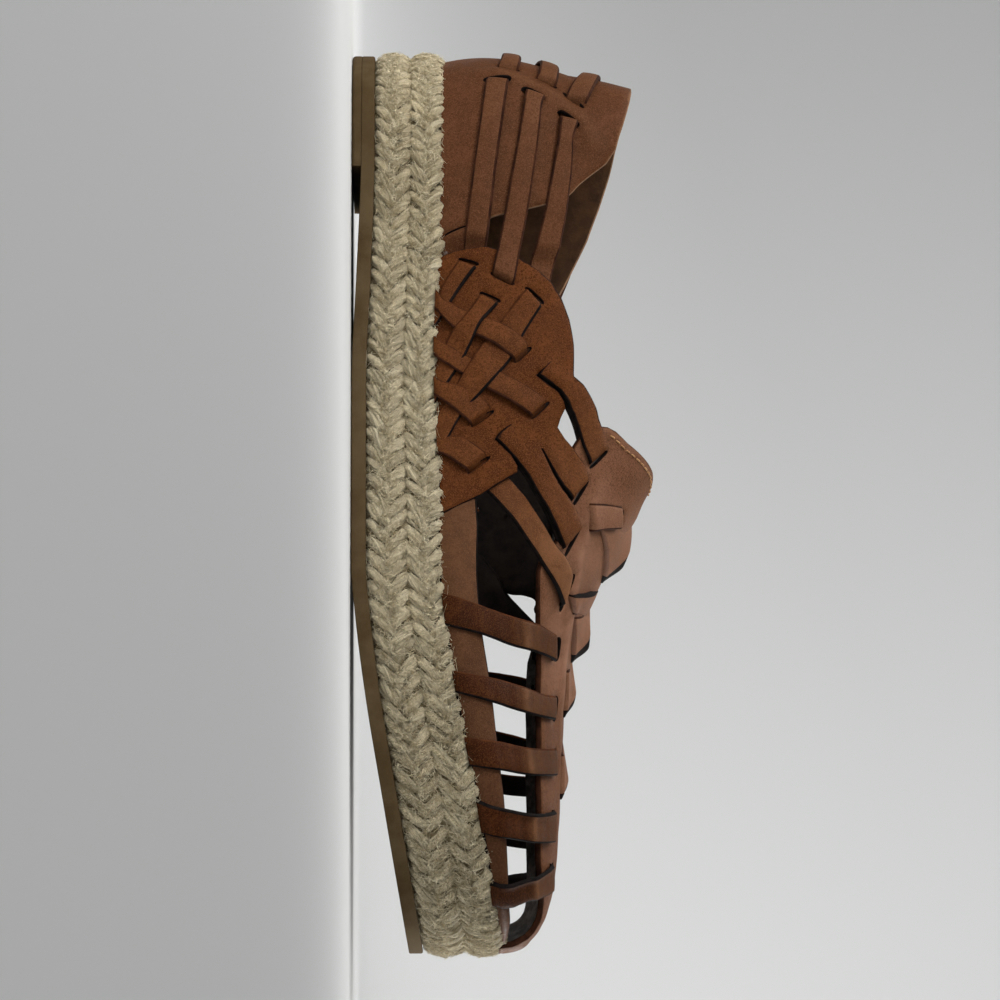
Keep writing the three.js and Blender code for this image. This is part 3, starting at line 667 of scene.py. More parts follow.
def panel(bag, outline, holes, k, off, thick=1.6, step=2.0, sign=1, pale=None, rim_width=1.8, slit_mat=1):
    """A leather panel on the last: outline in (run, girth%), holes in plane units (girth x k)."""
    edge = resample(np.array(outline, float) * [1, 0.01 * k], step * 0.8)
    cut = [resample(np.asarray(h, float), step * 0.8) for h in holes]
    lo, hi = edge.min(0), edge.max(0)
    gx = np.arange(lo[0], hi[0], step)
    gy = np.arange(lo[1], hi[1], step * 0.866)
    X, Y = np.meshgrid(gx, gy)
    X = X + (np.arange(len(gy)) % 2)[:, None] * step / 2
    grid = np.stack([X.ravel(), Y.ravel()], -1)
    keep = inside(edge, grid)
    for h in cut:
        keep &= ~inside(h, grid)
    grid = grid[keep]
    lines = [(edge, True)] + [(h, True) for h in cut]
    grid = grid[gap_to(lines, grid) > step * 0.5]
    coords = [Vector(p) for p in edge]
    edges = [(i, (i + 1) % len(edge)) for i in range(len(edge))]
    for h in cut:
        s = len(coords)
        coords += [Vector(p) for p in h]
        edges += [(s + i, s + (i + 1) % len(h)) for i in range(len(h))]
    coords += [Vector(p) for p in grid]
    out = delaunay_2d_cdt(coords, edges, [], 0, 1e-5)
    pts = np.array([tuple(v) for v in out[0]])
    tri = np.array([f for f in out[2] if len(f) == 3])
    cen = pts[tri].mean(1)
    good = inside(edge, cen)
    for h in cut:
        good &= ~inside(h, cen)
    tri = tri[good]
    a = pts[tri[:, 1]] - pts[tri[:, 0]]
    b = pts[tri[:, 2]] - pts[tri[:, 0]]
    area = a[:, 0] * b[:, 1] - a[:, 1] * b[:, 0]
    tri = tri[np.abs(area) > 1e-6]
    used = np.unique(tri)
    remap = -np.ones(len(pts), int)
    remap[used] = np.arange(len(used))
    pts, tri = pts[used], remap[tri]
    n = len(pts)
    half = thick / 2
    side = (lambda r, g: -medial(r, g)) if sign < 0 else (lambda r, g: r)
    run, g = pts[:, 0], pts[:, 1] / k
    o = off(pts) if off else np.zeros(n)
    top = skin(side(run, g), g, o + half)
    bot = skin(side(run, g), g, o - half)
    count = {}
    for f in tri:
        for i in range(3):
            e = (f[i], f[(i + 1) % 3])
            count[e] = count.get(e, 0) + 1
    rim_edges = [e for e in count if (e[1], e[0]) not in count]
    outward = np.zeros((n, 2))
    for i, j in rim_edges:
        d = pts[j] - pts[i]
        v = np.array([d[1], -d[0]])
        v /= max(np.linalg.norm(v), 1e-9)
        outward[i] += v
        outward[j] += v
    on_slit = gap_to(lines[1:], pts) < 1e-3 if cut else np.zeros(n, bool)
    ids = sorted({i for e in rim_edges for i in e})
    where = {v: i for i, v in enumerate(ids)}
    dirs = outward[ids]
    dirs /= np.maximum(np.linalg.norm(dirs, axis=1, keepdims=True), 1e-9)
    q = pts[ids] + dirs * min(0.22, half * 0.5)
    r1 = skin(side(q[:, 0], q[:, 1] / k), q[:, 1] / k, o[ids] + half * 0.5)
    r2 = skin(side(q[:, 0], q[:, 1] / k), q[:, 1] / k, o[ids] - half * 0.5)
    m = len(ids)
    verts = np.vstack([top, bot, r1, r2])
    faces = [tuple(int(x) for x in f) for f in tri] + [tuple(int(x) + n for x in f[::-1]) for f in tri]
    mats = [0] * len(tri) + [2] * len(tri)
    for i, j in rim_edges:
        a1, b1 = 2 * n + where[i], 2 * n + where[j]
        a2, b2 = a1 + m, b1 + m
        i, j = int(i), int(j)
        faces += [(j, i, a1, b1), (b1, a1, a2, b2), (b2, a2, i + n, j + n)]
        # slit_mat colours the slit walls: on the heel counter and the spine it is the black edge colour, darker than
        # their outer edges, painted shade inside the slits.
        mats += [slit_mat if on_slit[i] else 1] * 3
    rim = np.clip(1 - gap_to(lines[:1], pts) / rim_width, 0, 1)
    pl = pale(pts) if pale else np.zeros(n)
    bag.add(verts, faces, mats, np.concatenate([rim, rim, np.ones(2 * m)]), np.concatenate([pl, pl, pl[ids], pl[ids]]))


STRAP = [m_strap_shaded, m_edge, m_lining, m_brown]

# ------------------------------------------------------------------ heel counter
KC = 195.0
SLITS_FRONT = [((31.3, 8.7), (31.0, 12.4)), ((33.6, 14.5), (35.8, 17.4)), ((39.1, 19.9), (42.9, 22.6))]
SLITS_REAR = [((23.8, 10.4), (25.6, 13.6)), ((26.9, 16.1), (29.4, 18.8)), ((30.5, 19.6), (35.0, 22.8))]
counter_lat = [
    (0, 28.2), (8, 28.0), (16, 27.8), (25, 27.8), (34, 27.9), (42.4, 28.0), (47, 28.2), (49.4, 28.0), (51.6, 27.8), (53.6, 27.2), (56, 26.4),
    (58.8, 25.5), (61.4, 24.9), (63.9, 24.2), (66.0, 22.1), (67.8, 19.8), (69.4, 17.2), (71.0, 14.3), (72.8, 11.6), (75.0, 10.4), (78.6, 9.9), (83.0, 9.4), (88.6, 7.0), (91.6, 3.0), (92.6, 1.0), (92.8, -1.2),
]
counter_med = [
    (-8, 28.1), (-16, 27.9), (-25, 28.0), (-34, 28.2), (-43, 28.6), (-54, 29.0), (-64, 29.1), (-74, 28.7), (-82, 28.4), (-88, 27.6), (-92, 26.2), (-94, 23.0),
    (-94.5, 18.0), (-95.0, 12.0), (-95.5, 6.0), (-96.0, 1.3), (-96.2, -1.2),
]
counter_outline = counter_med[::-1] + counter_lat
counter_holes = []
for s in (1, -1):
    for a, b in SLITS_FRONT:
        counter_holes.append(slit((s * (a[0] - 0.9), a[1]), (s * (b[0] - 0.9), b[1]), 2.3, KC, 0.5))
    for a, b in SLITS_REAR:
        counter_holes.append(slit((s * a[0], a[1]), (s * b[0], b[1]), 1.5, KC))
counter_holes.append(slit((74.6, 8.6), (77.6, 1.6), 0.55, KC))
bridge = np.array([(26.5, 8.6), (28.0, 11.5), (30.0, 15.0), (33.0, 18.6), (37.0, 21.6), (42.0, 24.0), (47, 25.6)]) * [1, 0.01 * KC]


def heel_inset(run):
    return -1.2 * ease([(0, 1), (28, 0)], np.abs(run))


def counter_off(p):
    q = np.stack([np.abs(p[:, 0]), p[:, 1]], -1)
    d = gap_to([(bridge, False)], q)
    up = 1.25 * np.exp(-((d / 2.2) ** 2)) * ease([(0, 0), (16, 0.2), (21, 1), (44, 1), (54, 0.35), (70, 0)], p[:, 1])
    lip = -0.35 * ease([(46, 0), (56, 1)], p[:, 1])
    tuck = -2.9 * np.where(p[:, 0] > 0, ease([(75, 0), (83, 1)], p[:, 0]), ease([(77, 0), (87, 1)], -p[:, 0]))
    return up + lip + tuck + heel_inset(p[:, 0]) + 0.18 * np.sin(p[:, 0] * 0.21) * np.sin(p[:, 1] * 0.17)


bag = Bag()
# Painted highlight along the raised bridge over the heel straps.
panel(bag, counter_outline, counter_holes, KC, counter_off, 1.7, 1.9, pale=lambda p: 0.10 * np.exp(-((gap_to([(bridge, False)], np.stack([np.abs(p[:, 0]), p[:, 1]], -1)) / 1.6) ** 2)), slit_mat=3)
bag.make("heel_counter", [m_counter, m_raw, m_flesh, m_edge])

# heel straps: run, lower and upper edge; slant of the slits they pass
HEEL = [
    dict(low=[(0, 10.7), (16, 10.8), (24, 10.6), (32.5, 8.95), (40.6, 8.96), (47.6, 8.98), (54.4, 8.97), (61.1, 8.84), (67.7, 8.60), (74.3, 8.38), (80.8, 8.10), (85, 7.9)],
         high=[(0, 13.2), (16, 13.4), (24, 13.3), (32, 12.27), (40.2, 12.40), (47.3, 12.57), (54.0, 12.76), (60.8, 12.88), (67.4, 12.96), (74.0, 13.02), (80.5, 13.09), (85, 13.1)],
         slant=[(0, 0), (14, 0), (24.7, 1.8), (31.1, -0.3), (45, 0), (85, 0)],
         off=[(0, 1.62), (21.5, 1.9), (24.2, 1.7), (26.2, -1.6), (29.2, -1.6), (31.2, 2.0), (36, 1.7), (72, 1.55), (76.5, 1.3), (80.5, -1.7), (90, -1.7)]),
    dict(low=[(0, 15.4), (18, 16.0), (27, 16.0), (35.3, 14.86), (43.8, 15.12), (51.4, 15.39), (58.9, 15.52), (66.3, 15.50), (73.6, 15.42), (80.8, 15.23), (88.1, 14.70), (89.5, 14.6)],
         high=[(0, 17.7), (18, 18.4), (27, 18.5), (36.0, 17.35), (44.8, 17.86), (52.7, 18.39), (60.4, 18.79), (68.1, 19.0), (75.7, 19.18), (83.3, 19.2), (90.9, 18.82)],
         slant=[(0, 0), (14, 0), (28.1, 2.5), (34.7, 2.2), (52, 0), (76, 0), (89, 3.0)],
         off=[(0, 1.62), (24.6, 2.1), (27.6, 1.9), (29.6, -1.6), (32.6, -1.6), (34.6, 2.3), (39, 2.1), (46, 1.65), (74, 1.55), (80, 1.6), (88.0, 1.6), (90.0, -1.5), (95, -1.7)]),
    dict(low=[(0, 21.8), (20, 21.2), (32, 20.2), (41.4, 20.04), (47.6, 20.52), (53.5, 20.97), (59.3, 21.30), (65.1, 21.47), (70.8, 21.61), (76.4, 21.72), (82.1, 21.72), (93, 21.8)],
         high=[(0, 24.2), (20, 23.6), (32, 22.8), (43.0, 22.42), (49.9, 23.16), (56.6, 23.85), (63.4, 24.39), (70.0, 24.87), (76.5, 25.40), (83.0, 25.81), (89.5, 25.88), (93, 25.8)],
         slant=[(0, 0), (14, 0), (32.7, 4.5), (41.0, 3.8), (60, 0), (93, 0)],
         off=[(0, 1.62), (29, 2.2), (32.2, 2.0), (34.2, -1.6), (38.6, -1.6), (40.8, 2.4), (45, 2.3), (54, 1.65), (66, 1.55), (78, 1.0), (83.5, -1.7), (95, -1.7)]),
]
bag = Bag()
for i, row in enumerate(HEEL):
    lo, hi = along(row["low"], 1), along(row["high"], 1)
    end = row["low"][-1][0]
    runs = np.r_[-np.linspace(end, 0, 90)[:-1], np.linspace(0, end, 90)]
    slant = ease(row["slant"], np.abs(runs)) * np.sign(runs)
    lift = (4.0 if i == 2 else 0.0) * ease([(36, 0), (54, 1), (70, 0.9), (93, 0.3)], np.abs(runs)) * (runs < 0)
    left = list(zip(runs - slant / 2, lo(np.abs(runs)) + lift))
    right = list(zip(runs + slant / 2, hi(np.abs(runs)) + lift))
    ribbon(bag, left, right, row["off"], 1.3, 0.2, by="run", k=KC, step=0.8, pale=[(0, 0.10), (35, 0.07), (70, 0.03)],
           base=lambda mid: heel_inset(mid[:, 0]), remap=lambda r, g: np.where(r < 0, -medial(-r, g), r), bevel=(0.0, 0.2))
bag.make("heel_straps", [m_counter, m_red, m_flesh])

# ------------------------------------------------------------------ side panels
KP = 108.0
FINGER_A = [
    (115.6, 33.9), (117.8, 36.9), (120.9, 40.1), (124, 43.1), (127.1, 45.7), (132.4, 51.3), (136.3, 55.0), (138.5, 53.6), (140.7, 51.3),
    (137.4, 47.4), (134.6, 44.4), (130.6, 41.2), (126.4, 37.9), (123, 35.0), (119.7, 32.0), (117.7, 28.6), (116.0, 25.7), (114.2, 26.5), (112.2, 27.6),
]
FINGER_B = [(130.5, 34.7), (133.7, 38.2), (136.8, 42.5), (140.2, 47.1), (145.4, 51.6), (148.6, 50.5), (151.7, 48.6), (147.0, 41.7), (141.6, 36.3), (136.8, 31.9)]
FINGER_C = [
    (136.9, 31.0), (141.9, 35.2), (147.9, 40.8), (152.2, 47.0), (158.7, 54.1), (162.4, 53.3), (165.8, 52.0), (160.6, 44.6), (156.0, 39.6), (151.3, 34.8),
    (144.6, 28.8), (140.0, 23.9), (134.9, 17.2), (132.8, 18.9), (130.9, 21.0),
]
FINGER_A_MED = FINGER_A[:9] + [(137.8, 47.8)]
FINGER_B_MED = [(138.8, 46.6)] + FINGER_B[3:7] + [(150.9, 47.6)]
FINGER_C_MED = [(151.7, 46.6)] + FINGER_C[3:7] + [(158.6, 44.6), (153.6, 39.6), (149.4, 34.8), (144.6, 28.8)]
PANEL_TOP = [
    (84.2, -1.2), (83.4, 1.6), (81.6, 7.3), (80.3, 12.9), (81.2, 16.5), (83.0, 19.7), (85.6, 22.9), (88.7, 25.6), (93.0, 27.8), (99.2, 29.9), (106.4, 31.8), (112, 33.0),
]
PANEL_MID = {
    1: [
        *FINGER_A, (112.1, 27.5), (114.1, 26.25), (116.3, 24.9), (118.4, 28.1), (120.6, 31.6), (122.9, 33.7), (124.8, 34.9), (127.6, 34.6),
        *FINGER_B, *FINGER_C, (130.75, 20.8), (132.6, 18.5), (135.1, 16.6), (139.5, 22.0), (142.4, 24.6),
    ],
    -1: [*FINGER_A_MED, *FINGER_B_MED, *FINGER_C_MED],
}
PANEL_FRONT = [(144.2, 24.8), (147.0, 19.7), (150.8, 13.2), (153.4, 6.6), (155.5, 1.2), (156.0, -1.2)]
PANEL_SLITS = [
    ((87.6, 14.4), (90.6, 19.2)), ((84.2, 6.9), (85.5, 11.9)), ((93.5, 12.1), (95.9, 16.5)), ((91.0, 21.3), (95.5, 24.8)),
    ((108.3, 22.9), (113.2, 19.4)), ((123.4, 30.1), (128.8, 26.4)), ((127.0, 15.8), (131.8, 9.5)), ((140.1, 15.8), (144.9, 8.7)),
]


def lift_of(poly, p0, p1, profile, corner=None):
    q = np.array(poly, float) * [1, 0.01 * KP]
    a, b = np.array(p0, float) * [1, 0.01 * KP], np.array(p1, float) * [1, 0.01 * KP]
    d = b - a

    def f(p):
        member = inside(q, p) | (gap_to([(q, True)], p) < 0.3)
        t = ((p - a) @ d) / (d @ d)
        v = ease(profile, t)
        if corner:
            c = np.array(corner, float) * [1, 0.01 * KP]
            v = v + 1.15 * np.exp(-((np.linalg.norm(p - c, axis=1) / 5.5) ** 2))
        return np.where(member, v, 0.0)

    return f


LIFTS = [
    lift_of(FINGER_A, (114.6, 30.6), (137.8, 52.6), [(0, 0), (0.3, 1.1), (0.55, 1.9), (0.84, 2.05), (0.945, 1.9), (1.0, -0.2), (1.04, -1.8)], (116.0, 25.7)),
    lift_of(FINGER_B, (133.6, 33.4), (148.0, 49.4), [(0, 0), (0.45, 1.1), (0.8, 1.95), (0.92, 1.85), (1.0, -0.2), (1.05, -1.8)]),
    lift_of(FINGER_C, (134.4, 24.6), (161.7, 52.4), [(0, 0), (0.35, 0.9), (0.6, 1.6), (0.85, 2.0), (0.95, 1.9), (1.0, -0.2), (1.03, -1.8)], (134.9, 17.2)),
]


DIPS_MED = [
    lift_of(FINGER_A, (114.6, 30.6), (137.8, 52.6), [(0, 0), (0.945, 0.0), (1.0, -1.9), (1.04, -2.2)]),
    lift_of(FINGER_B, (133.6, 33.4), (148.0, 49.4), [(0, 0), (0.92, 0.0), (1.0, -1.9), (1.05, -2.2)]),
    lift_of(FINGER_C, (134.4, 24.6), (161.7, 52.4), [(0, 0), (0.95, 0.0), (1.0, -1.9), (1.03, -2.2)]),
]


def panel_off_med(p):
    v = 1.9 * ease([(0.36 * KP, 0), (0.47 * KP, 1)], p[:, 1]) + sum(f(p) for f in DIPS_MED)
    return v + 0.22 * np.sin(p[:, 0] * 0.16 + 0.6) * np.sin(p[:, 1] * 0.2)


def panel_off(p):
    v = sum(f(p) for f in LIFTS)
    return v + 0.22 * np.sin(p[:, 0] * 0.16 + 0.6) * np.sin(p[:, 1] * 0.2)


def panel_pale(p):
    return 0.16 * ease([(30, 0), (44, 0.5), (56, 1)], p[:, 1]) * ease([(112, 0), (132, 1)], p[:, 0])


for s, word in ((1, "lateral"), (-1, "medial")):
    bag = Bag()
    panel(bag, PANEL_TOP + PANEL_MID[s] + PANEL_FRONT, [slit(a, b, 1.4 if s > 0 else 0.9, KP) for a, b in PANEL_SLITS], KP, panel_off if s > 0 else panel_off_med, 1.6, 1.8, s, panel_pale)
    bag.make("side_panel_" + word, [m_panel, m_edge, m_lining])

# woven straps of the side panels, each by its two edges
ON, OVER = 1.5, 2.75
WEAVE = [
    # straps that come out of the panel and run down and forward to the jute
    dict(a=[(84.2, 7.2), (87, 5.4), (90.5, 2.9), (95.0, -0.6), (96.5, -2.0)], b=[(85.5, 11.6), (89.5, 9.3), (95.3, 5.6), (100.8, 1.6), (103.6, -2.0)],
         off=[(0, ON), (0.62, ON), (0.8, 1.25), (1, 0.9)], tilt=0.5, dive=(1, 0)),
    dict(a=[(93.6, 12.4), (97.0, 10.6), (100.6, 8.2), (104.6, 5.0), (109.6, 2.4), (114.6, -0.4), (116.5, -2.0)],
         b=[(95.8, 16.2), (98.6, 14.4), (102.2, 12.0), (109.6, 8.9), (116.4, 5.2), (122.2, 1.0), (125.5, -2.0)],
         off=[(0, ON), (0.12, 1.8), (0.26, OVER), (0.42, 2.5), (0.56, 1.35), (0.76, 1.35), (0.9, 1.1), (1, 0.8)], tilt=0.55, dive=(1, 0)),
    dict(a=[(91.1, 21.6), (93.4, 20.4), (97.6, 18.4), (101.8, 16.2), (108.3, 12.2), (114.0, 8.8), (119.4, 5.8), (125.6, 1.6), (129.6, -2.0)],
         b=[(95.4, 24.5), (100.0, 22.8), (104.9, 20.9), (112.3, 18.4), (117.6, 15.2), (122.5, 11.8), (129.1, 6.4), (136.7, 1.4), (140.2, -2.0)],
         off=[(0, ON), (0.2, ON), (0.3, 1.35), (0.4, 1.6), (0.52, OVER), (0.62, 2.4), (0.74, 1.3), (0.9, 1.15), (1, 0.8)], tilt=0.55, dive=(1, 0)),
    # straps that come up from the jute and run forward into the panel
    dict(a=[(92.6, -2.0), (94.4, 0.2), (98.4, 8.2), (100.6, 12.6), (102.4, 16.4), (105.0, 19.8), (108.6, 22.6)],
         b=[(98.6, -2.0), (99.8, 0.4), (104.1, 5.6), (106.4, 11.2), (109.4, 15.6), (113.0, 19.7)],
         off=[(0, 1.4), (0.1, 2.5), (0.24, 2.6), (0.36, 1.4), (0.5, 1.4), (0.6, 2.3), (0.74, OVER), (0.88, 2.1), (1, 1.6)], tilt=0.75, dive=(0, 1)),
    dict(a=[(105.9, -2.0), (107.3, 0.8), (111.8, 8.7), (114.0, 12.6), (116.2, 16.6), (119.4, 22.8), (123.7, 29.8)],
         b=[(111.4, -2.0), (112.7, 0.2), (116.9, 6.7), (121.1, 13.2), (124.8, 20.2), (128.6, 26.7)],
         off=[(0, 1.4), (0.08, 2.4), (0.2, 2.55), (0.3, 1.45), (0.46, 1.4), (0.56, 1.75), (0.7, 1.75), (1, 1.6)], tilt=0.75, dive=(0, 1)),
    dict(a=[(117.2, -2.0), (118.9, 1.0), (120.2, 5.4), (122.5, 11.0), (127.2, 15.5)], b=[(123.0, -2.0), (124.7, 1.2), (127.8, 5.2), (131.6, 9.8)],
         off=[(0, 1.4), (0.14, 2.5), (0.5, OVER), (0.76, 2.0), (1, 1.6)], tilt=0.75, dive=(0, 1)),
    dict(a=[(135.2, -2.0), (134.6, 2.0), (134.7, 6.4), (137.2, 11.2), (140.3, 15.5)], b=[(139.4, -2.0), (140.2, 1.6), (142.2, 5.0), (144.6, 9.0)],
         off=[(0, 1.0), (0.15, 1.5), (0.6, 1.6), (1, 1.55)], tilt=0.5, dive=(0, 1)),
]
for s, word in ((1, "lateral"), (-1, "medial")):
    bag = Bag()
    for row in WEAVE:
        ribbon(bag, row["a"], row["b"], row["off"], 1.25, 0.25, row["tilt"], 0.75, 6, sign=s, k=KP, pale=[(0, 0.04), (1, 0.05)], dive=row["dive"], bevel=(0.0, 0.34 if row["dive"][0] else 0.1), low_mat=3, high_mat=1 if row["dive"][0] else 4)
    bag.make("weave_straps_" + word, [m_panel, m_edge, m_lining, m_brown, m_red])

# fourth finger, from behind the panel up to the spine
FOURTH = {
    1: ([(139.0, 15.0), (144.9, 22.9), (150.2, 28.9), (156.9, 36.3), (162.1, 42.9), (167.4, 53.0), (171.2, 58.8)],
        [(145.0, 9.4), (149.9, 16.6), (156.1, 24.5), (164.8, 35.3), (171.8, 45.8), (176.4, 53.4), (180.2, 59.6)]),
    -1: ([(157.5, 14.0), (161.6, 20.0), (166.4, 26.5), (173.4, 34.5), (177.8, 42.5), (182.4, 52.0), (185.4, 58.8)],
         [(171.0, 8.0), (176.4, 16.0), (181.2, 24.5), (185.8, 35.3), (188.4, 45.8), (190.4, 53.4), (192.6, 59.6)]),
}
bag = Bag()
for s, (left, right) in FOURTH.items():
    ribbon(
        bag, left, right,
        [(0, -1.75), (0.1, -1.75), (0.2, -1.4), (0.36, -0.2), (0.6, 1.0), (0.82, 1.9), (1, 1.8)],
        1.5, 0.3, 0.5, 1.0, 6, sign=s, k=KP, pale=[(0, 0.05), (0.35, 0.18), (0.7, 0.42), (1, 0.50)], dive=(0, 1), bevel=(0.0, 0.2), remap=lambda r, g: r,
    )
bag.make("fourth_fingers", [m_panel, m_edge, m_lining])

# black strips under the lower edges of the first three fingers, lateral side only: painted shade in the gaps under the
# lifted edges
UNDER = [
    (0, [(115.4, 25.2), (117.7, 28.6), (119.7, 32.0), (123, 35.0), (126.4, 37.9), (130.6, 41.2), (134.6, 44.4), (137.4, 47.4), (139.6, 50.0)], 0.8),
    (1, [(138.4, 33.6), (141.2, 36.5), (146.5, 41.8), (149.4, 45.4), (151.0, 47.6)], 0.9),
    (2, [(134.2, 16.6), (140.0, 23.9), (144.6, 28.8), (151.3, 34.8), (156.0, 39.6), (160.6, 44.6), (164.6, 50.4)], 0.75),
]
bag = Bag()
for s in (1,):
    for finger, line, out in UNDER:
        q = path(line, 24, KP) * [1, KP]
        d = np.gradient(q, axis=0)
        d /= np.linalg.norm(d, axis=1, keepdims=True)
        e = np.stack([d[:, 1], -d[:, 0]], -1)
        fade = np.clip(np.linspace(0, 12, 24), 0, 1) * np.clip(np.linspace(9, 0, 24), 0, 1)
        inner = (q - e * 1.1) / [1, KP] * [1, 100]
        outer = (q + e * out * fade[:, None]) / [1, KP] * [1, 100]
        height = LIFTS[finger](q - e * 0.8) - 1.25
        ribbon(bag, [tuple(p) for p in inner], [tuple(p) for p in outer], [(0, 0), (1, 0)], 0.9, 0.0, -0.35, 0.9, 3, sign=s, k=KP,
               base=lambda mid, h=height: np.interp(np.linspace(0, 1, len(mid)), np.linspace(0, 1, 24), h))
bag.make("finger_edge_shade", [m_edge, m_edge, m_lining])

# ------------------------------------------------------------------ spine and tongue
KS = 62.0
SPINE_EDGE = [
    (128.9, 47.0), (131.5, 43.2), (136, 42.0), (142, 43.5), (150, 45.5), (158, 48), (165, 50.2), (172, 53.4), (180, 57.4), (185.2, 57.4), (190, 55.2), (193.7, 54.0), (199, 54.8),
    (204.7, 55.6), (213, 55.8), (221.4, 55.7), (230, 55.0), (238.4, 54.4), (246, 54.0), (253.7, 54.0), (259, 55.0), (264.2, 56.6), (268, 58.0), (272, 59.0), (276, 59.0),
    (280, 57.4), (283.4, 53.4), (286.2, 46.0), (288.2, 37.0), (289.8, 26.0), (290.8, 13.0), (291.2, -1.2),
]
SPINE_EDGE_MED = [(a - 6.0 * float(ease([(262, 0), (286, 1)], a)), g - 5.0 * float(ease([(250, 0), (272, 1), (284, 1), (291, 0)], a))) for a, g in SPINE_EDGE]
SPINE_EDGE = SPINE_EDGE[:5] + [(157, 47.0), (162, 46.0), (165.6, 43.6), (168.6, 41.8), (171.4, 42.0), (174.7, 43.7), (178.8, 45.8), (182.9, 48.1), (187.5, 50.4), (193.7, 53.0)] + SPINE_EDGE[12:20] + [(259, 56.4), (264.2, 60.4), (268, 63.6), (272, 66.0), (276, 66.8), (280, 65.6), (283.6, 61.6), (286.8, 54.0), (289.4, 43.0), (291.2, 30.0), (292.4, 15.0), (292.8, -1.2)]
TONGUE = [(140.3, 100), (139.6, 96.0), (138.4, 91.5), (137.0, 86.0), (135.6, 78.5), (134.4, 72.3), (133.2, 66.6), (132.1, 61.7), (130.7, 57.4), (129.6, 54.2), (128.8, 50.4)]
spine_outline = (
    [(a, 200 - g) for a, g in SPINE_EDGE_MED][::-1]      # medial edge, from the toe back
    + [(a, 200 - g) for a, g in TONGUE[::-1]][:-1]       # up the medial half of the tongue
    + TONGUE                                             # and down the lateral half
    + SPINE_EDGE                                         # to the toe
    + [(302.4, -1.2), (302.4, 60), (302.4, 100), (302.4, 140), (302.4, 201.2)]
)
# slits where the fingers and toe straps go in, and where they come out again
TIP_SLITS = [
    ((135.3, 54.6), (140.6, 50.8), 1.2), ((144.6, 51.6), (151.7, 48.2), 1.2), ((157.7, 54.0), (166.0, 51.6), 1.3), ((170.6, 59.4), (181.0, 60.2), 1.9),
    ((188.4, 64.2), (194.8, 66.4), 4.3), ((204.8, 71.2), (211.6, 70.2), 4.3), ((219.6, 73.2), (227.0, 74.2), 4.1), ((237.4, 74.2), (246.4, 72.6), 4.1), ((253.6, 73.2), (262.4, 76.6), 4.1),
]
LOOPS = [  # heel-side and toe-side edge, from the lateral slit over the ridge to the medial slit; lift of the toe-side edge, height in the middle, slant of the cut edge
    dict(a=[(155.8, 63.5), (154.0, 80), (150.4, 100), (147.4, 118), (146.4, 132)], b=[(168.6, 90.0), (165.4, 95.0), (160.8, 100.5), (157.4, 106), (155.4, 112)], tilt=3.6, mid=1.7, cut=2.8),
    dict(a=[(176.2, 62.0), (174.6, 80), (172.2, 100), (171.4, 118), (171.0, 132)], b=[(181.0, 69.5), (181.0, 84.0), (180.8, 100), (180.2, 116), (179.6, 128)], tilt=-1.9, mid=0.5, cut=[(0, 0.2), (0.10, 0.9), (0.24, 1.1), (0.38, 0.3), (0.46, 0.0), (1, 0.0)], lean=[(0, 0.25), (0.14, 1.0), (0.3, 0.6), (0.46, 0.1), (1, 0.1)]),
    dict(a=[(181.8, 73.5), (180.4, 86), (177.6, 100), (175.0, 113), (174.0, 122)], b=[(192.2, 88.0), (189.2, 94.0), (185.0, 100.5), (182.0, 106), (180.4, 112)], tilt=4.2, mid=1.8, cut=2.8),
    dict(a=[(197.0, 82.0), (196.0, 90), (193.8, 100), (191.4, 109), (190.4, 116)], b=[(208.6, 88.0), (206.0, 94.0), (202.6, 100.5), (200.2, 106), (199.2, 111)], tilt=3.0, mid=1.6, cut=1.8),
    dict(a=[(221.0, 84.5), (220.3, 92), (218.8, 100), (217.0, 108), (216.4, 113)], b=[(232.8, 88.5), (230.8, 94), (228.0, 100.5), (226.0, 105.5), (225.2, 110)], tilt=2.2, mid=1.6, cut=1.4),
]
BARS = [dict(a=[(150.6, 55.0), (150.0, 62), (149.6, 71.0)], b=[(158.0, 59.0), (156.8, 66), (155.4, 75.5)])]
spine_holes = []
for flip in (False, True):
    f = (lambda p: (p[0], 200 - p[1])) if flip else (lambda p: p)
    for a, b, wide in TIP_SLITS:
        if flip:
            a, b = (float(medial(a[0], 0.01 * a[1])), a[1]), (float(medial(b[0], 0.01 * b[1])), b[1])
        spine_holes.append(slit(f(a), f(b), wide, KS, 0.3, 16))
    for row in LOOPS:
        d = 0.5 if flip else -0.5
        spine_holes.append(slit(*[(q[0], q[1] + d) for q in (row["a"][-1 if flip else 0], row["b"][-1 if flip else 0])], 1.0, KS, 0.3, 14))
    for row in BARS:
        for end, out in ((0, 0.6), (-1, 1.6)):
            spine_holes.append(slit(f((row["a"][end][0], row["a"][end][1] + out)), f((row["b"][end][0], row["b"][end][1] + out)), 0.7 if end == 0 else 2.4, KS, -0.6, 14))
FOLD = np.array([(140, 57.0), (147.1, 57.9), (153.8, 57.8), (159.6, 58.4), (168.0, 60.8), (176.3, 65.6), (184.5, 70.6), (192.9, 75.6), (204, 80.0), (222, 84.0), (245, 84.6), (262, 86.0)]) * [1, 0.01 * KS]


def spine_fold(p):
    q = p.copy()
    q[:, 1] = np.where(q[:, 1] > KS, 2 * KS - q[:, 1], q[:, 1])
    return q, gap_to([(FOLD, False)], q)


def toe_drop(run):
    return -0.5 * ease([(186, 0), (206, 1), (262, 1), (284, 0.3), (292, 0)], run)


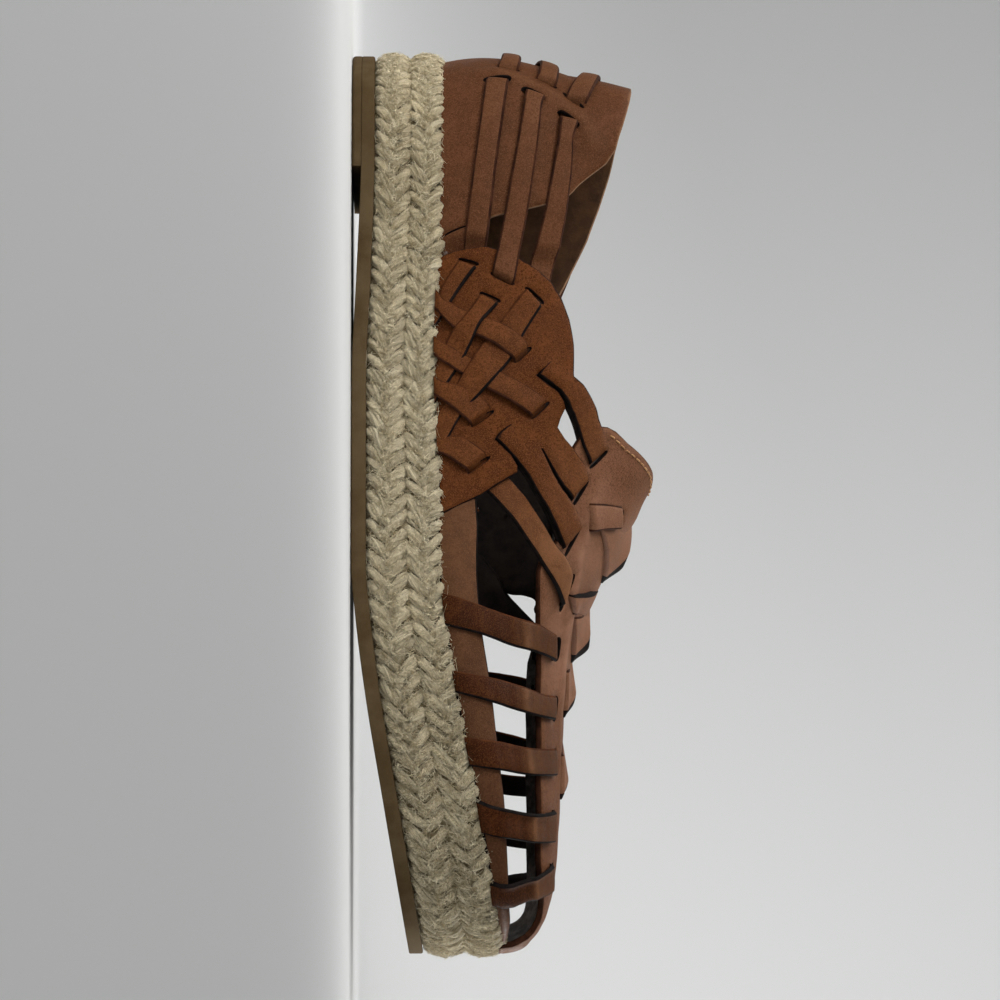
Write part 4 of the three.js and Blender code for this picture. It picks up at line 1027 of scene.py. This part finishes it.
def spine_off(p):
    q, d = spine_fold(p)
    up = 0.75 * np.exp(-((d / 2.2) ** 2)) * ease([(138, 0), (147, 1), (196, 1), (225, 0.5), (262, 0.3)], p[:, 0])
    flare = 0.9 * ease([(128, 1), (136, 0.5), (146, 0)], p[:, 0])
    crest = 2.0 * ease([(130, 0.1), (142, 1), (149, 1), (160, 0.1), (168, 0)], p[:, 0]) * ease([(28, 0), (52, 1)], q[:, 1])
    tip = 1.0 * ease([(284, 0), (299, 1)], p[:, 0])
    return up + flare + crest + tip + toe_drop(p[:, 0]) + 0.15 * np.sin(p[:, 0] * 0.27) * np.sin(p[:, 1] * 0.23)


# Painted highlight along the fold ridge and painted light on the upper spine and tongue, where light catches them.
def spine_painted_light(p):
    q, d = spine_fold(p)
    return np.clip(0.34 * np.exp(-((d / 1.3) ** 2)) * ease([(140, 0.2), (150, 1), (200, 1), (230, 0.4)], p[:, 0]) + 0.44 * ease([(24, 0.3), (40, 1)], q[:, 1]) * ease([(142, 0.1), (158, 1), (194, 1), (212, 0.05)], p[:, 0]) + 0.1 * ease([(128, 1), (160, 0)], p[:, 0]), 0, 1)


bag = Bag()
panel(bag, spine_outline, spine_holes, KS, spine_off, 1.7, 1.9, pale=spine_painted_light, rim_width=1.5, slit_mat=3)
bag.make("spine", [m_spine, m_red, m_suede, m_edge])

on_spine = lambda mid: spine_off(mid * [1, KS])
bag = Bag()
# The loops are paled: painted sheen where light catches the top of the shoe.
for row in LOOPS:
    up = row["tilt"] > 0
    lean = [(t, row["tilt"] * v) for t, v in row.get("lean", [(0, 0.1), (0.5, 1.0), (1, 0.1)])]
    ribbon(bag, row["a"], row["b"], [(0, 1.25), (0.5, row["mid"]), (1, 1.25)], 1.2, 0.15, lean, 0.7, 8, k=KS,
           pale=[(0, 0.46), (0.5, 0.42), (1, 0.46)], dive=(1, 1), plunge=0.9, base=on_spine, remap=lambda r, g: r, bevel=(0.0, row["cut"]) if up else (row["cut"], 0.0),
           low_mat=3 if up else 1, high_mat=1 if up else 3)
for s in (1, -1):
    for row in BARS:
        # Bars: pale is painted sheen; dark=(0, 1) colours the diving end black, painted shade in the slit.
        ribbon(bag, row["a"], row["b"], [(0, 1.5), (0.5, 1.6), (1, 1.5)], 1.4, 0.25, 0.3, 0.7, 6, sign=s, k=KS, pale=[(0, 0.34), (1, 0.34)], dive=(1, 1), plunge=0.9, base=on_spine, remap=lambda r, g: r, bevel=(0.0, 0.2), low_mat=3, high_mat=3, dark=(0, 1))
bag.make("spine_loops", [m_spine, m_edge, m_lining, m_red])

# ------------------------------------------------------------------ rim strips
RIM_TOP = [
    (148, 8.5), (151.5, 12.0), (155, 12.7), (161, 13.6), (167.5, 14.4), (178.5, 16.3), (189.3, 18.8), (200.1, 21.1), (208.2, 22.0), (216.3, 21.8), (227.2, 21.4), (234.2, 21.2), (244.3, 19.4),
    (255.1, 17.0), (265.7, 14.6), (277.2, 14.6), (285, 13.0), (292, 10.0), (296, 8.0),
]
bag = Bag()
for s in (1, -1):
    left = [(148, -2.5), (170, -2.5), (200, -2.5), (230, -2.5), (255, -2.5), (272, -2.5), (283, -2.5), (296, -2.5)]
    ribbon(bag, left, RIM_TOP, [(150, -1.5), (155.5, -1.3), (160, 0.0), (272, 0.0), (287, -0.9), (296, -1.7)], 1.7, 0.95, 0.0, 1.6, 10, sign=s, by="run", k=75,
           pale=[(150, 0.18), (172, 0.20), (200, 0.12), (230, 0.07), (260, 0.06)])
bag.make("rim_strips", [m_rim, m_edge, m_flesh])

# ------------------------------------------------------------------ toe straps
TOE = [  # heel-side edge, toe-side edge
    dict(a=[(178.2, -2.5), (179.2, 4.0), (181.7, 17.5), (184.0, 33.0), (186.0, 51.0), (186.9, 55.6), (187.6, 60.0)],
         b=[(187.0, -2.5), (188.1, 5.3), (189.6, 17.7), (192.2, 34.4), (193.4, 48.1), (194.2, 56.0), (195.0, 62.2)], curl=0.0),
    dict(a=[(199.0, -2.5), (199.7, 4.3), (201.6, 28.1), (203.4, 43.0), (204.6, 55.7), (204.7, 67.2)],
         b=[(205.0, -2.5), (205.8, 4.0), (207.9, 22.0), (210.5, 43.9), (211.1, 57.0), (211.4, 66.2)], curl=0.0),
    dict(a=[(216.8, -2.5), (217.2, 3.2), (218.4, 24.4), (219.6, 38.7), (219.7, 58.0), (219.5, 69.2)],
         b=[(224.6, -2.5), (225.1, 5.6), (226.1, 21.7), (227.1, 37.1), (227.3, 58.0), (227.1, 70.2)], curl=0.35),
    dict(a=[(234.2, -2.5), (234.9, 2.0), (237.0, 20.1), (238.4, 39.0), (238.2, 58.0), (237.7, 70.2)],
         b=[(243.2, -2.5), (243.8, 4.4), (245.4, 23.4), (246.4, 37.5), (246.9, 58.0), (246.8, 68.6)], curl=1.3),
    dict(a=[(258.6, -2.5), (258.7, 3.0), (258.7, 13.3), (257.5, 35.5), (255.4, 56.0), (254.0, 69.2)],
         b=[(266.6, -2.5), (266.6, 3.0), (266.5, 16.3), (265.1, 38.6), (264.2, 60.0), (263.1, 72.6)], curl=1.3),
]
for s, word in ((1, "lateral"), (-1, "medial")):
    bag = Bag()
    for row in TOE:
        lift = row["curl"]

        def curl(t, v, lift=lift):
            return lift * np.clip(1 - v * 3.2, 0, 1) ** 2 * np.clip(t * 4, 0, 1) * np.clip((1 - t) * 5, 0, 1)

        ribbon(
            bag, row["a"], row["b"],
            [(-3, 1.2), (1, 1.75), (6, 2.35), (14, 2.3), (22, 1.75), (30, 1.45), (35, 1.7), (39.5, 2.15), (45, 1.95), (54, 1.8), (70, 1.7), (84, 1.6)],
            1.3, 0.2, 0.35, 0.8, 7, sign=s, by="girth", k=58, curl=curl if lift else None, dive=(0, 1), plunge=1.3, bevel=(0.5 if lift > 1 else 0.0, 0.05), low_mat=1 if lift > 1 else 3,
            base=lambda mid: toe_drop(mid[:, 0]) * ease([(0.36, 0), (0.58, 1)], mid[:, 1]),
            # Paler over the fold (scuff wear and painted highlight) and on the ends past it (painted light where they
            # face up).
            pale=[(0, 0.0), (32, 0.03), (36, 0.10), (39.5, 0.42), (43, 0.20), (52, 0.15), (75, 0.18)],
        )
    bag.make("toe_straps_" + word, STRAP)

# ------------------------------------------------------------------ tongue stitches
def tube_set(name, lines, radius, sides, mats, tone=None, node_name=None, taper=None, closed_ends=True):
    """Many tubes as one piece. lines is (count, points, 3) in metres."""
    P = np.asarray(lines, float)
    c, n, _ = P.shape
    T = np.gradient(P, axis=1)
    T /= np.maximum(np.linalg.norm(T, axis=2, keepdims=True), 1e-12)
    ref = np.zeros_like(T)
    ref[..., 2] = 1.0
    steep = np.abs(T[..., 2]) > 0.9
    ref[steep] = [1.0, 0.0, 0.0]
    A = np.cross(T, ref)
    A /= np.maximum(np.linalg.norm(A, axis=2, keepdims=True), 1e-12)
    B = np.cross(T, A)
    r = np.broadcast_to(np.asarray(radius, float).reshape(-1, 1) if np.ndim(radius) == 1 else np.asarray(radius, float), (c, n)).copy()
    if taper is not None:
        r = r * np.asarray(taper)[None, :]
    ang = np.linspace(0, 2 * math.pi, sides, endpoint=False)
    V = P[:, :, None, :] + r[:, :, None, None] * (np.cos(ang)[None, None, :, None] * A[:, :, None, :] + np.sin(ang)[None, None, :, None] * B[:, :, None, :])
    idx = np.arange(c * n * sides).reshape(c, n, sides)
    a = idx[:, :-1, :]
    b = idx[:, 1:, :]
    quads = np.stack([a, b, np.roll(b, -1, axis=2), np.roll(a, -1, axis=2)], -1).reshape(-1, 4)
    faces = quads.tolist()
    if closed_ends:
        faces += idx[:, 0, :].tolist()
        faces += idx[:, -1, ::-1].tolist()
    seg = np.r_[0, np.cumsum(np.ones(n - 1))]
    length = np.linalg.norm(np.diff(P, axis=1), axis=2).cumsum(1)
    length = np.concatenate([np.zeros((c, 1)), length], 1) * 1000
    u = np.repeat(length[:, :, None], sides, 2) + np.arange(c)[:, None, None] * 7.31
    v = np.broadcast_to(np.arange(sides) / sides, (c, n, sides)) + (np.arange(c) * 0.37)[:, None, None] + 0.13 * length[:, :, None]
    attrs = {}
    if tone is not None:
        attrs["tone"] = np.broadcast_to(np.asarray(tone)[:, None, None], (c, n, sides)).ravel()
    return make(name, V.reshape(-1, 3), faces, mats, np.zeros(len(faces), int), attrs, np.stack([u.ravel(), v.ravel()], -1), node_name, recalc=False)


edge_line = path([(a, g) for a, g in TONGUE[::-1]] + [(a, 200 - g) for a, g in TONGUE[1:]], 400, KS)
pos = last(edge_line[:, 0], edge_line[:, 1])
arc = np.r_[0, np.cumsum(np.linalg.norm(np.diff(pos, axis=0), axis=1))]
stitches = []
for s0 in np.arange(2.0, arc[-1] - 2.0, 2.35):
    t = np.linspace(s0, s0 + 1.75, 6)
    a = np.interp(t, arc, edge_line[:, 0]) + 1.55
    g = np.interp(t, arc, edge_line[:, 1])
    stitches.append(skin(a, g, spine_off(np.stack([a, g * KS], -1)) + 0.85 + np.array([-0.25, 0.1, 0.22, 0.22, 0.1, -0.25])))
tube_set("tongue_stitches", np.array(stitches), 0.00026, 6, [m_thread], node_name="upper")


# ------------------------------------------------------------------ platform
def both_sides(inset, runs):
    """Lateral and medial points of the outline at one inset, by lateral run."""
    q = LAT.inset(runs, np.full_like(runs, inset))
    st = MED.inset(MED.run, np.full_like(MED.run, inset))[:, 1]
    mr = np.interp(q[:, 1], np.maximum.accumulate(st), MED.run)
    return q, MED.inset(mr, np.full_like(mr, inset))


def slab(rings, first, last_, columns, across=2):
    """A plate on the outline: rings give inset and height; the first and last are capped."""
    verts, faces, rows = [], [], []
    start = 0.0 if first <= 0 else float(np.interp(first, np.maximum.accumulate(LAT.y), LAT.run))
    end = LAT.total if last_ >= LENGTH else float(np.interp(last_, np.maximum.accumulate(LAT.y), LAT.run))
    u = np.linspace(0, 1, columns + 1)
    if first <= 0:
        u = u - 0.06 * np.sin(2 * math.pi * u) if last_ >= LENGTH else u ** 1.25
    runs = start + (end - start) * u
    for inset, height in rings:
        q, m = both_sides(inset, runs)
        if first <= 0:
            q[0] = m[0] = (0.0, inset)
        if last_ >= LENGTH:
            q[-1] = m[-1] = (TOE_OFFSET, LENGTH - inset)
        rows.append((len(verts), q, m, height))
        for p in q:
            verts.append((p[0], p[1], float(height(p[1]))))
        for p in m:
            verts.append((p[0], p[1], float(height(p[1]))))
    n = columns + 1
    ends = []
    for k, ((a, *_), (b, *_)) in enumerate(zip(rows, rows[1:])):
        for j in range(columns):
            faces.append((a + j, a + j + 1, b + j + 1, b + j))
            faces.append((a + n + j + 1, a + n + j, b + n + j, b + n + j + 1))
        if first > 0:
            faces.append((a + n, a, b, b + n))
        if last_ < LENGTH and 0 < k < len(rows) - 2:
            faces.append((a + columns, a + n + columns, b + n + columns, b + columns))
    for (a, q, m, height), top in ((rows[0], False), (rows[-1], True)):
        grid = [[a + j for j in range(n)]]
        for i in range(1, across):
            f = i / across
            line = []
            for j in range(n):
                x, y = q[j] * (1 - f) + m[j] * f
                verts.append((x, y, float(height(y))))
                line.append(len(verts) - 1)
            grid.append(line)
        grid.append([a + n + j for j in range(n)])
        ends.append([line[-1] for line in grid])
        for g0, g1 in zip(grid, grid[1:]):
            for j in range(columns):
                faces.append((g0[j], g0[j + 1], g1[j + 1], g1[j]) if top else (g0[j + 1], g0[j], g1[j], g1[j + 1]))
    if last_ < LENGTH:
        a, b = rows[1][0], rows[-2][0]
        faces.append((*ends[0], a + n + columns, a + columns))
        faces.append((b + columns, b + n + columns, *ends[1][::-1]))
    V = (np.array(verts) - ORIGIN) * 0.001
    return V, faces


def weld(ob, dist=1e-6):
    bm = bmesh.new()
    bm.from_mesh(ob.data)
    bmesh.ops.remove_doubles(bm, verts=bm.verts, dist=dist)
    bmesh.ops.dissolve_degenerate(bm, dist=1e-7, edges=bm.edges)
    bmesh.ops.recalc_face_normals(bm, faces=bm.faces)
    bm.to_mesh(ob.data)
    bm.free()


def sharp(ob, degrees=35):
    ob.data.set_sharp_from_angle(angle=math.radians(degrees))


TREAD = 0.9
v, f = slab([
    (4.2, lambda s: under_at(s) + TREAD), (3.8, under_at), (0.75, under_at), (0.55, lambda s: under_at(s) + 0.15), (0.5, lambda s: under_at(s) + 0.4),
    (0.5, lambda s: rubber_top(s) - 0.6), (0.75, lambda s: rubber_top(s) - 0.15), (1.3, rubber_top),
], 0, LENGTH, 130, 6)
sole = make("outsole_sheet", v, f, [m_rubber], np.zeros(len(f), int), node_name="outsole")
weld(sole)
sharp(sole)
v, f = slab([
    (1.0, lambda s: 0 * s), (0.65, lambda s: 0 * s + 0.3), (0.5, lambda s: 0 * s + 0.8), (0.5, lambda s: under_at(s) - 0.12), (0.62, lambda s: under_at(s) - 0.01),
], 0, 39, 60, 6)
lift_ob = make("heel_top_piece", v, f, [m_rubber], np.zeros(len(f), int), node_name="heel_lift")
weld(lift_ob)
sharp(lift_ob)

# cross ribs of the tread, inside the rim of the sheet
rib_v, rib_f = [], []
y = 47.0
while y < 245:
    for e, half in ((0, 1.5),):
        q, m = [], []
        for d in (-half, -half * 0.6, half * 0.6, half):
            run = float(np.interp(y + d, np.maximum.accumulate(LAT.y), LAT.run))
            ql, qm = both_sides(4.0, np.array([run]))
            q.append(ql[0])
            m.append(qm[0])
        n0 = len(rib_v)
        cols = 13
        for i in range(cols):
            w = i / (cols - 1)
            for j, up in enumerate((TREAD + 0.05, 0.05, 0.05, TREAD + 0.05)):
                x, s = q[j] * (1 - w) + m[j] * w
                bend = 2.4 * math.sin(w * math.pi * 4)
                ss = min(max(s + bend, 44.0), 250.0)
                rib_v.append((x, ss, float(under_at(ss)) + up))
        for i in range(cols - 1):
            for j in range(4):
                a, b = n0 + i * 4 + j, n0 + i * 4 + (j + 1) % 4
                rib_f.append((a, b, b + 4, a + 4))
        rib_f.append((n0, n0 + 1, n0 + 2, n0 + 3))
        k = n0 + (cols - 1) * 4
        rib_f.append((k + 3, k + 2, k + 1, k))
    y += 5.2
ribs = make("tread_ribs", (np.array(rib_v) - ORIGIN) * 0.001, rib_f, [m_rubber], np.zeros(len(rib_f), int), node_name="outsole")
sharp(ribs)

v, f = slab([
    (3.0, rubber_top), (2.3, lambda s: rubber_top(s) + 1.5), (2.3, lambda s: jute_top(s) - 2.2), (3.2, lambda s: jute_top(s) - 0.5), (4.4, lambda s: jute_top(s) - 0.1),
], 0, LENGTH, 120, 4)
core = make("platform_core", v, f, [m_core], np.zeros(len(f), int), node_name="midsole")
weld(core)

v, f = slab([
    (4.4, lambda s: jute_top(s) + 0.2), (3.9, lambda s: jute_top(s) + 0.8), (3.9, lambda s: jute_top(s) + 2.0), (4.6, lambda s: jute_top(s) + 2.6), (6.0, lambda s: jute_top(s) + 2.7),
], 0, LENGTH, 120, 10)
bed = make("footbed", v, f, [m_footbed], np.zeros(len(f), int), node_name="insole")
weld(bed)

bed_line = []
runs = np.linspace(3, LAT.total - 2, 900)
for edge, d in ((LAT, 8.5), (MED, 8.5)):
    rr = np.linspace(4, edge.total - 3, 900)
    q = edge.inset(rr, np.full_like(rr, d))
    arc = np.r_[0, np.cumsum(np.linalg.norm(np.diff(q, axis=0), axis=1))]
    for s0 in np.arange(1.0, arc[-1] - 3, 3.4):
        t = np.linspace(s0, s0 + 2.3, 5)
        x, yy = np.interp(t, arc, q[:, 0]), np.interp(t, arc, q[:, 1])
        z = jute_top(yy) + 2.7 + np.array([-0.2, 0.1, 0.16, 0.1, -0.2])
        bed_line.append((np.stack([x, yy, z], -1) - ORIGIN) * 0.001)
tube_set("footbed_stitches", np.array(bed_line), 0.00024, 5, [m_thread], node_name="insole")

# ------------------------------------------------------------------ braided jute
LOOP_TOTAL = LAT.total + MED.total


def ring(w):
    """Outline all round: lateral side heel to toe, then the medial side back to the heel."""
    w = np.mod(w, LOOP_TOTAL)
    lat = w <= LAT.total
    a = np.where(lat, w, LOOP_TOTAL - w)
    p = np.where(lat[..., None], LAT.at(a), MED.at(a))
    n = np.where(lat[..., None], LAT.normal(a), MED.normal(a))
    tip = (np.abs(w - LAT.total) < 0.6)[..., None]
    n = np.where(tip, np.array([0.0, 1.0]), n)
    return p, n


ROWS = [dict(centre=0.265, half=0.262), dict(centre=0.762, half=0.262)]


def on_row(row, w, v, h):
    """Point of a braided row: along w, across v (-1 to 1), h out from its bed."""
    p, n = ring(w)
    back = 2.0 + 1.5 * np.abs(v) ** 3
    xy = p - n * (back - h)[..., None]
    s = np.clip(p[..., 1], 0, LENGTH)
    z = rubber_top(s) + 0.25 + (jute_at(s) - 0.1) * (row["centre"] + row["half"] * v)
    return (np.concatenate([xy, z[..., None]], -1) - ORIGIN) * 0.001


YARNS = 9
NP = 8
t = np.linspace(0, 1, NP)
bodies, body_tones = [], []
for r_index, row in enumerate(ROWS):
    start = LAT.total + MED.total * (0.55 + 0.02 * r_index)
    steps = [0.0]   # closer together at the heel than at the toe
    while steps[-1] < LOOP_TOTAL:
        at = ring(np.array([start + steps[-1]]))[0][0, 1]
        steps.append(steps[-1] + 4.0 + 0.9 * float(np.clip((at - 80) / 150, 0, 1)))
    steps = np.array(steps[:-1]) * LOOP_TOTAL / steps[-1]
    lines, radii, tones = [], [], []
    for k, w_step in enumerate(steps):
        for arm in (-1, 1):
            w0 = start + w_step + (2.1 if arm > 0 else 0.0) + rng.normal(0, 0.32)
            reach = 6.7 + rng.normal(0, 0.55)
            hw = 5.1
            d = np.array([reach, -arm * hw * 1.16])
            d /= np.linalg.norm(d)
            e = np.array([-d[1], d[0]])
            fat = 0.99 + rng.normal(0, 0.15)
            arm_tone = 0.52 + rng.normal(0, 0.14)
            turn = 2.5 + rng.normal(0, 0.35)
            phase = rng.uniform(0, 2 * math.pi)
            rise = -0.95 + 1.75 * np.sin(math.pi * np.clip(0.1 + 0.86 * t, 0, 1)) ** 0.8 - 0.5 * (t > 0.93) + rng.normal(0, 0.12)
            pinch = 0.70 + 0.30 * np.sin(math.pi * np.clip(0.12 + 0.8 * t, 0, 1))
            bow = rng.normal(0, 0.07)
            line_w = w0 + reach * (t - 0.42)
            line_v = arm * (1.08 - 1.2 * t) + bow * np.sin(math.pi * t)
            bodies.append(on_row(row, line_w, np.clip(line_v, -1.12, 1.12), rise))
            body_tones.append(np.clip(arm_tone - 0.25, 0, 1))
            for j in range(YARNS):
                angle = 2 * math.pi * j / YARNS + phase + turn * t + rng.normal(0, 0.26)
                out = 1 + 0.10 * np.sin(t * rng.uniform(4, 9) + rng.uniform(0, 6)) + rng.normal(0, 0.12)
                side = 1.16 * fat * pinch * np.cos(angle) * out
                lift = 0.86 * fat * pinch * np.sin(angle) * out
                lines.append(on_row(row, line_w + e[0] * side, np.clip(line_v + e[1] * side / hw, -1.14, 1.14), rise + lift))
                radii.append(0.00037 * (1 + rng.normal(0, 0.28)))
                tones.append(np.clip(arm_tone + rng.normal(0, 0.34), 0, 1))
    tube_set("jute_braid_" + ("lower", "upper")[r_index], np.array(lines), np.clip(np.array(radii), 0.00024, 0.0005), 5, [m_jute], np.array(tones), "midsole", taper=np.r_[0.7, np.ones(NP - 2), 0.7])
tube_set("jute_strands", np.array(bodies), 0.0012, 6, [m_jute], np.array(body_tones), "midsole", taper=np.r_[0.6, np.ones(NP - 2), 0.6])

# loose fibres
for word, count in (("near", 12500), ("stray", 7600)):
    t = np.linspace(0, 1, 3 if word == "near" else 4)
    lines, radii = [], []
    for i in range(count):
        row = ROWS[rng.integers(2)]
        w0 = rng.uniform(0, LOOP_TOTAL)
        v0 = rng.uniform(-1.05, 1.05)
        long_one = word == "stray" and rng.random() < 0.06
        length = rng.uniform(6, 13) if long_one else (rng.uniform(1.2, 3.6) if word == "stray" else rng.uniform(1.4, 3.8))
        ang = rng.normal(0, 0.9) + (0.75 if v0 < 0 else -0.75)
        bend = rng.normal(0, 0.9)
        w = w0 + length * t * np.cos(ang + bend * t)
        vv = v0 + length * t * np.sin(ang + bend * t) / 5.0
        up = rng.uniform(0.0, 0.5) if word == "near" else rng.uniform(0.15, 1.0) + (1.6 if long_one else 0.0) * rng.random()
        hh = 1.5 + 0.5 * (1 - abs(v0)) + up * np.sin(t * rng.uniform(0.8, 2.8)) + 0.25 * rng.normal()
        vmax = 1.5 if long_one else 1.15
        lines.append(on_row(row, w, np.clip(vv, -1.08 if row is ROWS[0] else -vmax, vmax if row is ROWS[1] else 1.2), np.minimum(hh, 3.2)))
        radii.append(rng.uniform(0.00006, 0.00012) if word == "near" else rng.uniform(0.00004, 0.00009))
    tube_set("loose_fibres_" + word, np.array(lines), np.array(radii), 3, [m_fibre], None, "midsole", taper=np.linspace(1, 0.45, len(t)))

# ------------------------------------------------------------------ stage
floor_m, t, b = new_material("pale_floor")
b.inputs["Base Color"].default_value = (0.66, 0.665, 0.66, 1)
b.inputs["Roughness"].default_value = 0.75
profile = [(6.0, 0.0), (2.0, 0.0), (0.0, 0.0), (-0.4, 0.0)]
profile += [(-0.4 - 1.4 * math.sin(a), 1.4 - 1.4 * math.cos(a)) for a in np.linspace(0, math.pi / 2, 41)[1:]]
profile += [(-1.8, 2.2), (-1.8, 3.2)]
verts = [(x, y, z) for x, z in profile for y in (-6.0, 6.0)]
me = bpy.data.meshes.new("floor")
me.from_pydata(verts, [], [(2 * i, 2 * i + 1, 2 * i + 3, 2 * i + 2) for i in range(len(profile) - 1)])
me.polygons.foreach_set("use_smooth", np.ones(len(me.polygons), bool))
me.materials.append(floor_m)
floor = bpy.data.objects.new("floor", me)
scene.collection.objects.link(floor)
floor.location.z = -0.0002

world = bpy.data.worlds.new("studio")
scene.world = world
world.use_nodes = True
bg = next(n for n in world.node_tree.nodes if n.type == "BACKGROUND")
bg.inputs["Color"].default_value = (0.80, 0.805, 0.80, 1)
bg.inputs["Strength"].default_value = 0.40
scene.view_settings.view_transform = "Standard"


def area(name, pos, aim, size, watts, colour=(1, 1, 1), spread=180):
    l = bpy.data.lights.new(name, "AREA")
    l.shape = "DISK"
    l.size = size
    l.energy = watts
    l.spread = math.radians(spread)
    l.color = colour
    o = bpy.data.objects.new(name, l)
    scene.collection.objects.link(o)
    o.location = pos
    o.rotation_euler = (Vector(aim) - Vector(pos)).to_track_quat("-Z", "Y").to_euler()
    return o


area("key", (0.62, -0.60, 0.50), (0, -0.10, 0.035), 0.5, 0.54, (1.0, 0.985, 0.96), 45)
area("fill", (1.2, -0.45, 0.45), (0, -0.10, 0.04), 1.0, 2.9)
area("back", (-0.20, -0.34, 0.62), (0, -0.04, 0.05), 0.5, 2.9)
area("toe", (-0.45, 0.66, 0.16), (0.01, 0.125, 0.018), 0.3, 0.4, spread=40)
area("backdrop", (-0.45, 0.5, 1.0), (-1.8, 0.3, 0.8), 1.0, 11.0)

# camera: level with the sole's edge, beside the shoe's outer side, rolled so that
# the toe points down and the sole lies to the left
AIM = np.array([0.0, 128.0, 2.0])
AZ, EL, DIST, FOCAL = math.radians(96), math.radians(0.5), 780.0, 2735.0
back = np.array([math.sin(AZ) * math.cos(EL), -math.cos(AZ) * math.cos(EL), math.sin(EL)])
eye = AIM + DIST * back
fwd = -back
right = np.array([0, 0, 1.0]) - fwd[2] * fwd
right /= np.linalg.norm(right)
down = np.cross(fwd, right)
if down[1] < 0:
    down = -down
fwd = fwd + right * (140 / FOCAL) + down * (2 / FOCAL)
fwd /= np.linalg.norm(fwd)
right = np.array([0, 0, 1.0]) - fwd[2] * fwd
right /= np.linalg.norm(right)
up = np.cross(right, fwd)
cam_data = bpy.data.cameras.new("camera")
cam_data.sensor_width = 36.0
cam_data.lens = 36.0 * FOCAL / 1000.0
cam = bpy.data.objects.new("camera", cam_data)
scene.collection.objects.link(cam)
rot = Matrix((right, up, -fwd)).transposed()
cam.matrix_world = Matrix.Translation(Vector((eye - ORIGIN) * 0.001)) @ rot.to_4x4()
cam_data.clip_start = 0.01
cam_data.clip_end = 50.0
scene.camera = cam

bpy.context.view_layer.update()
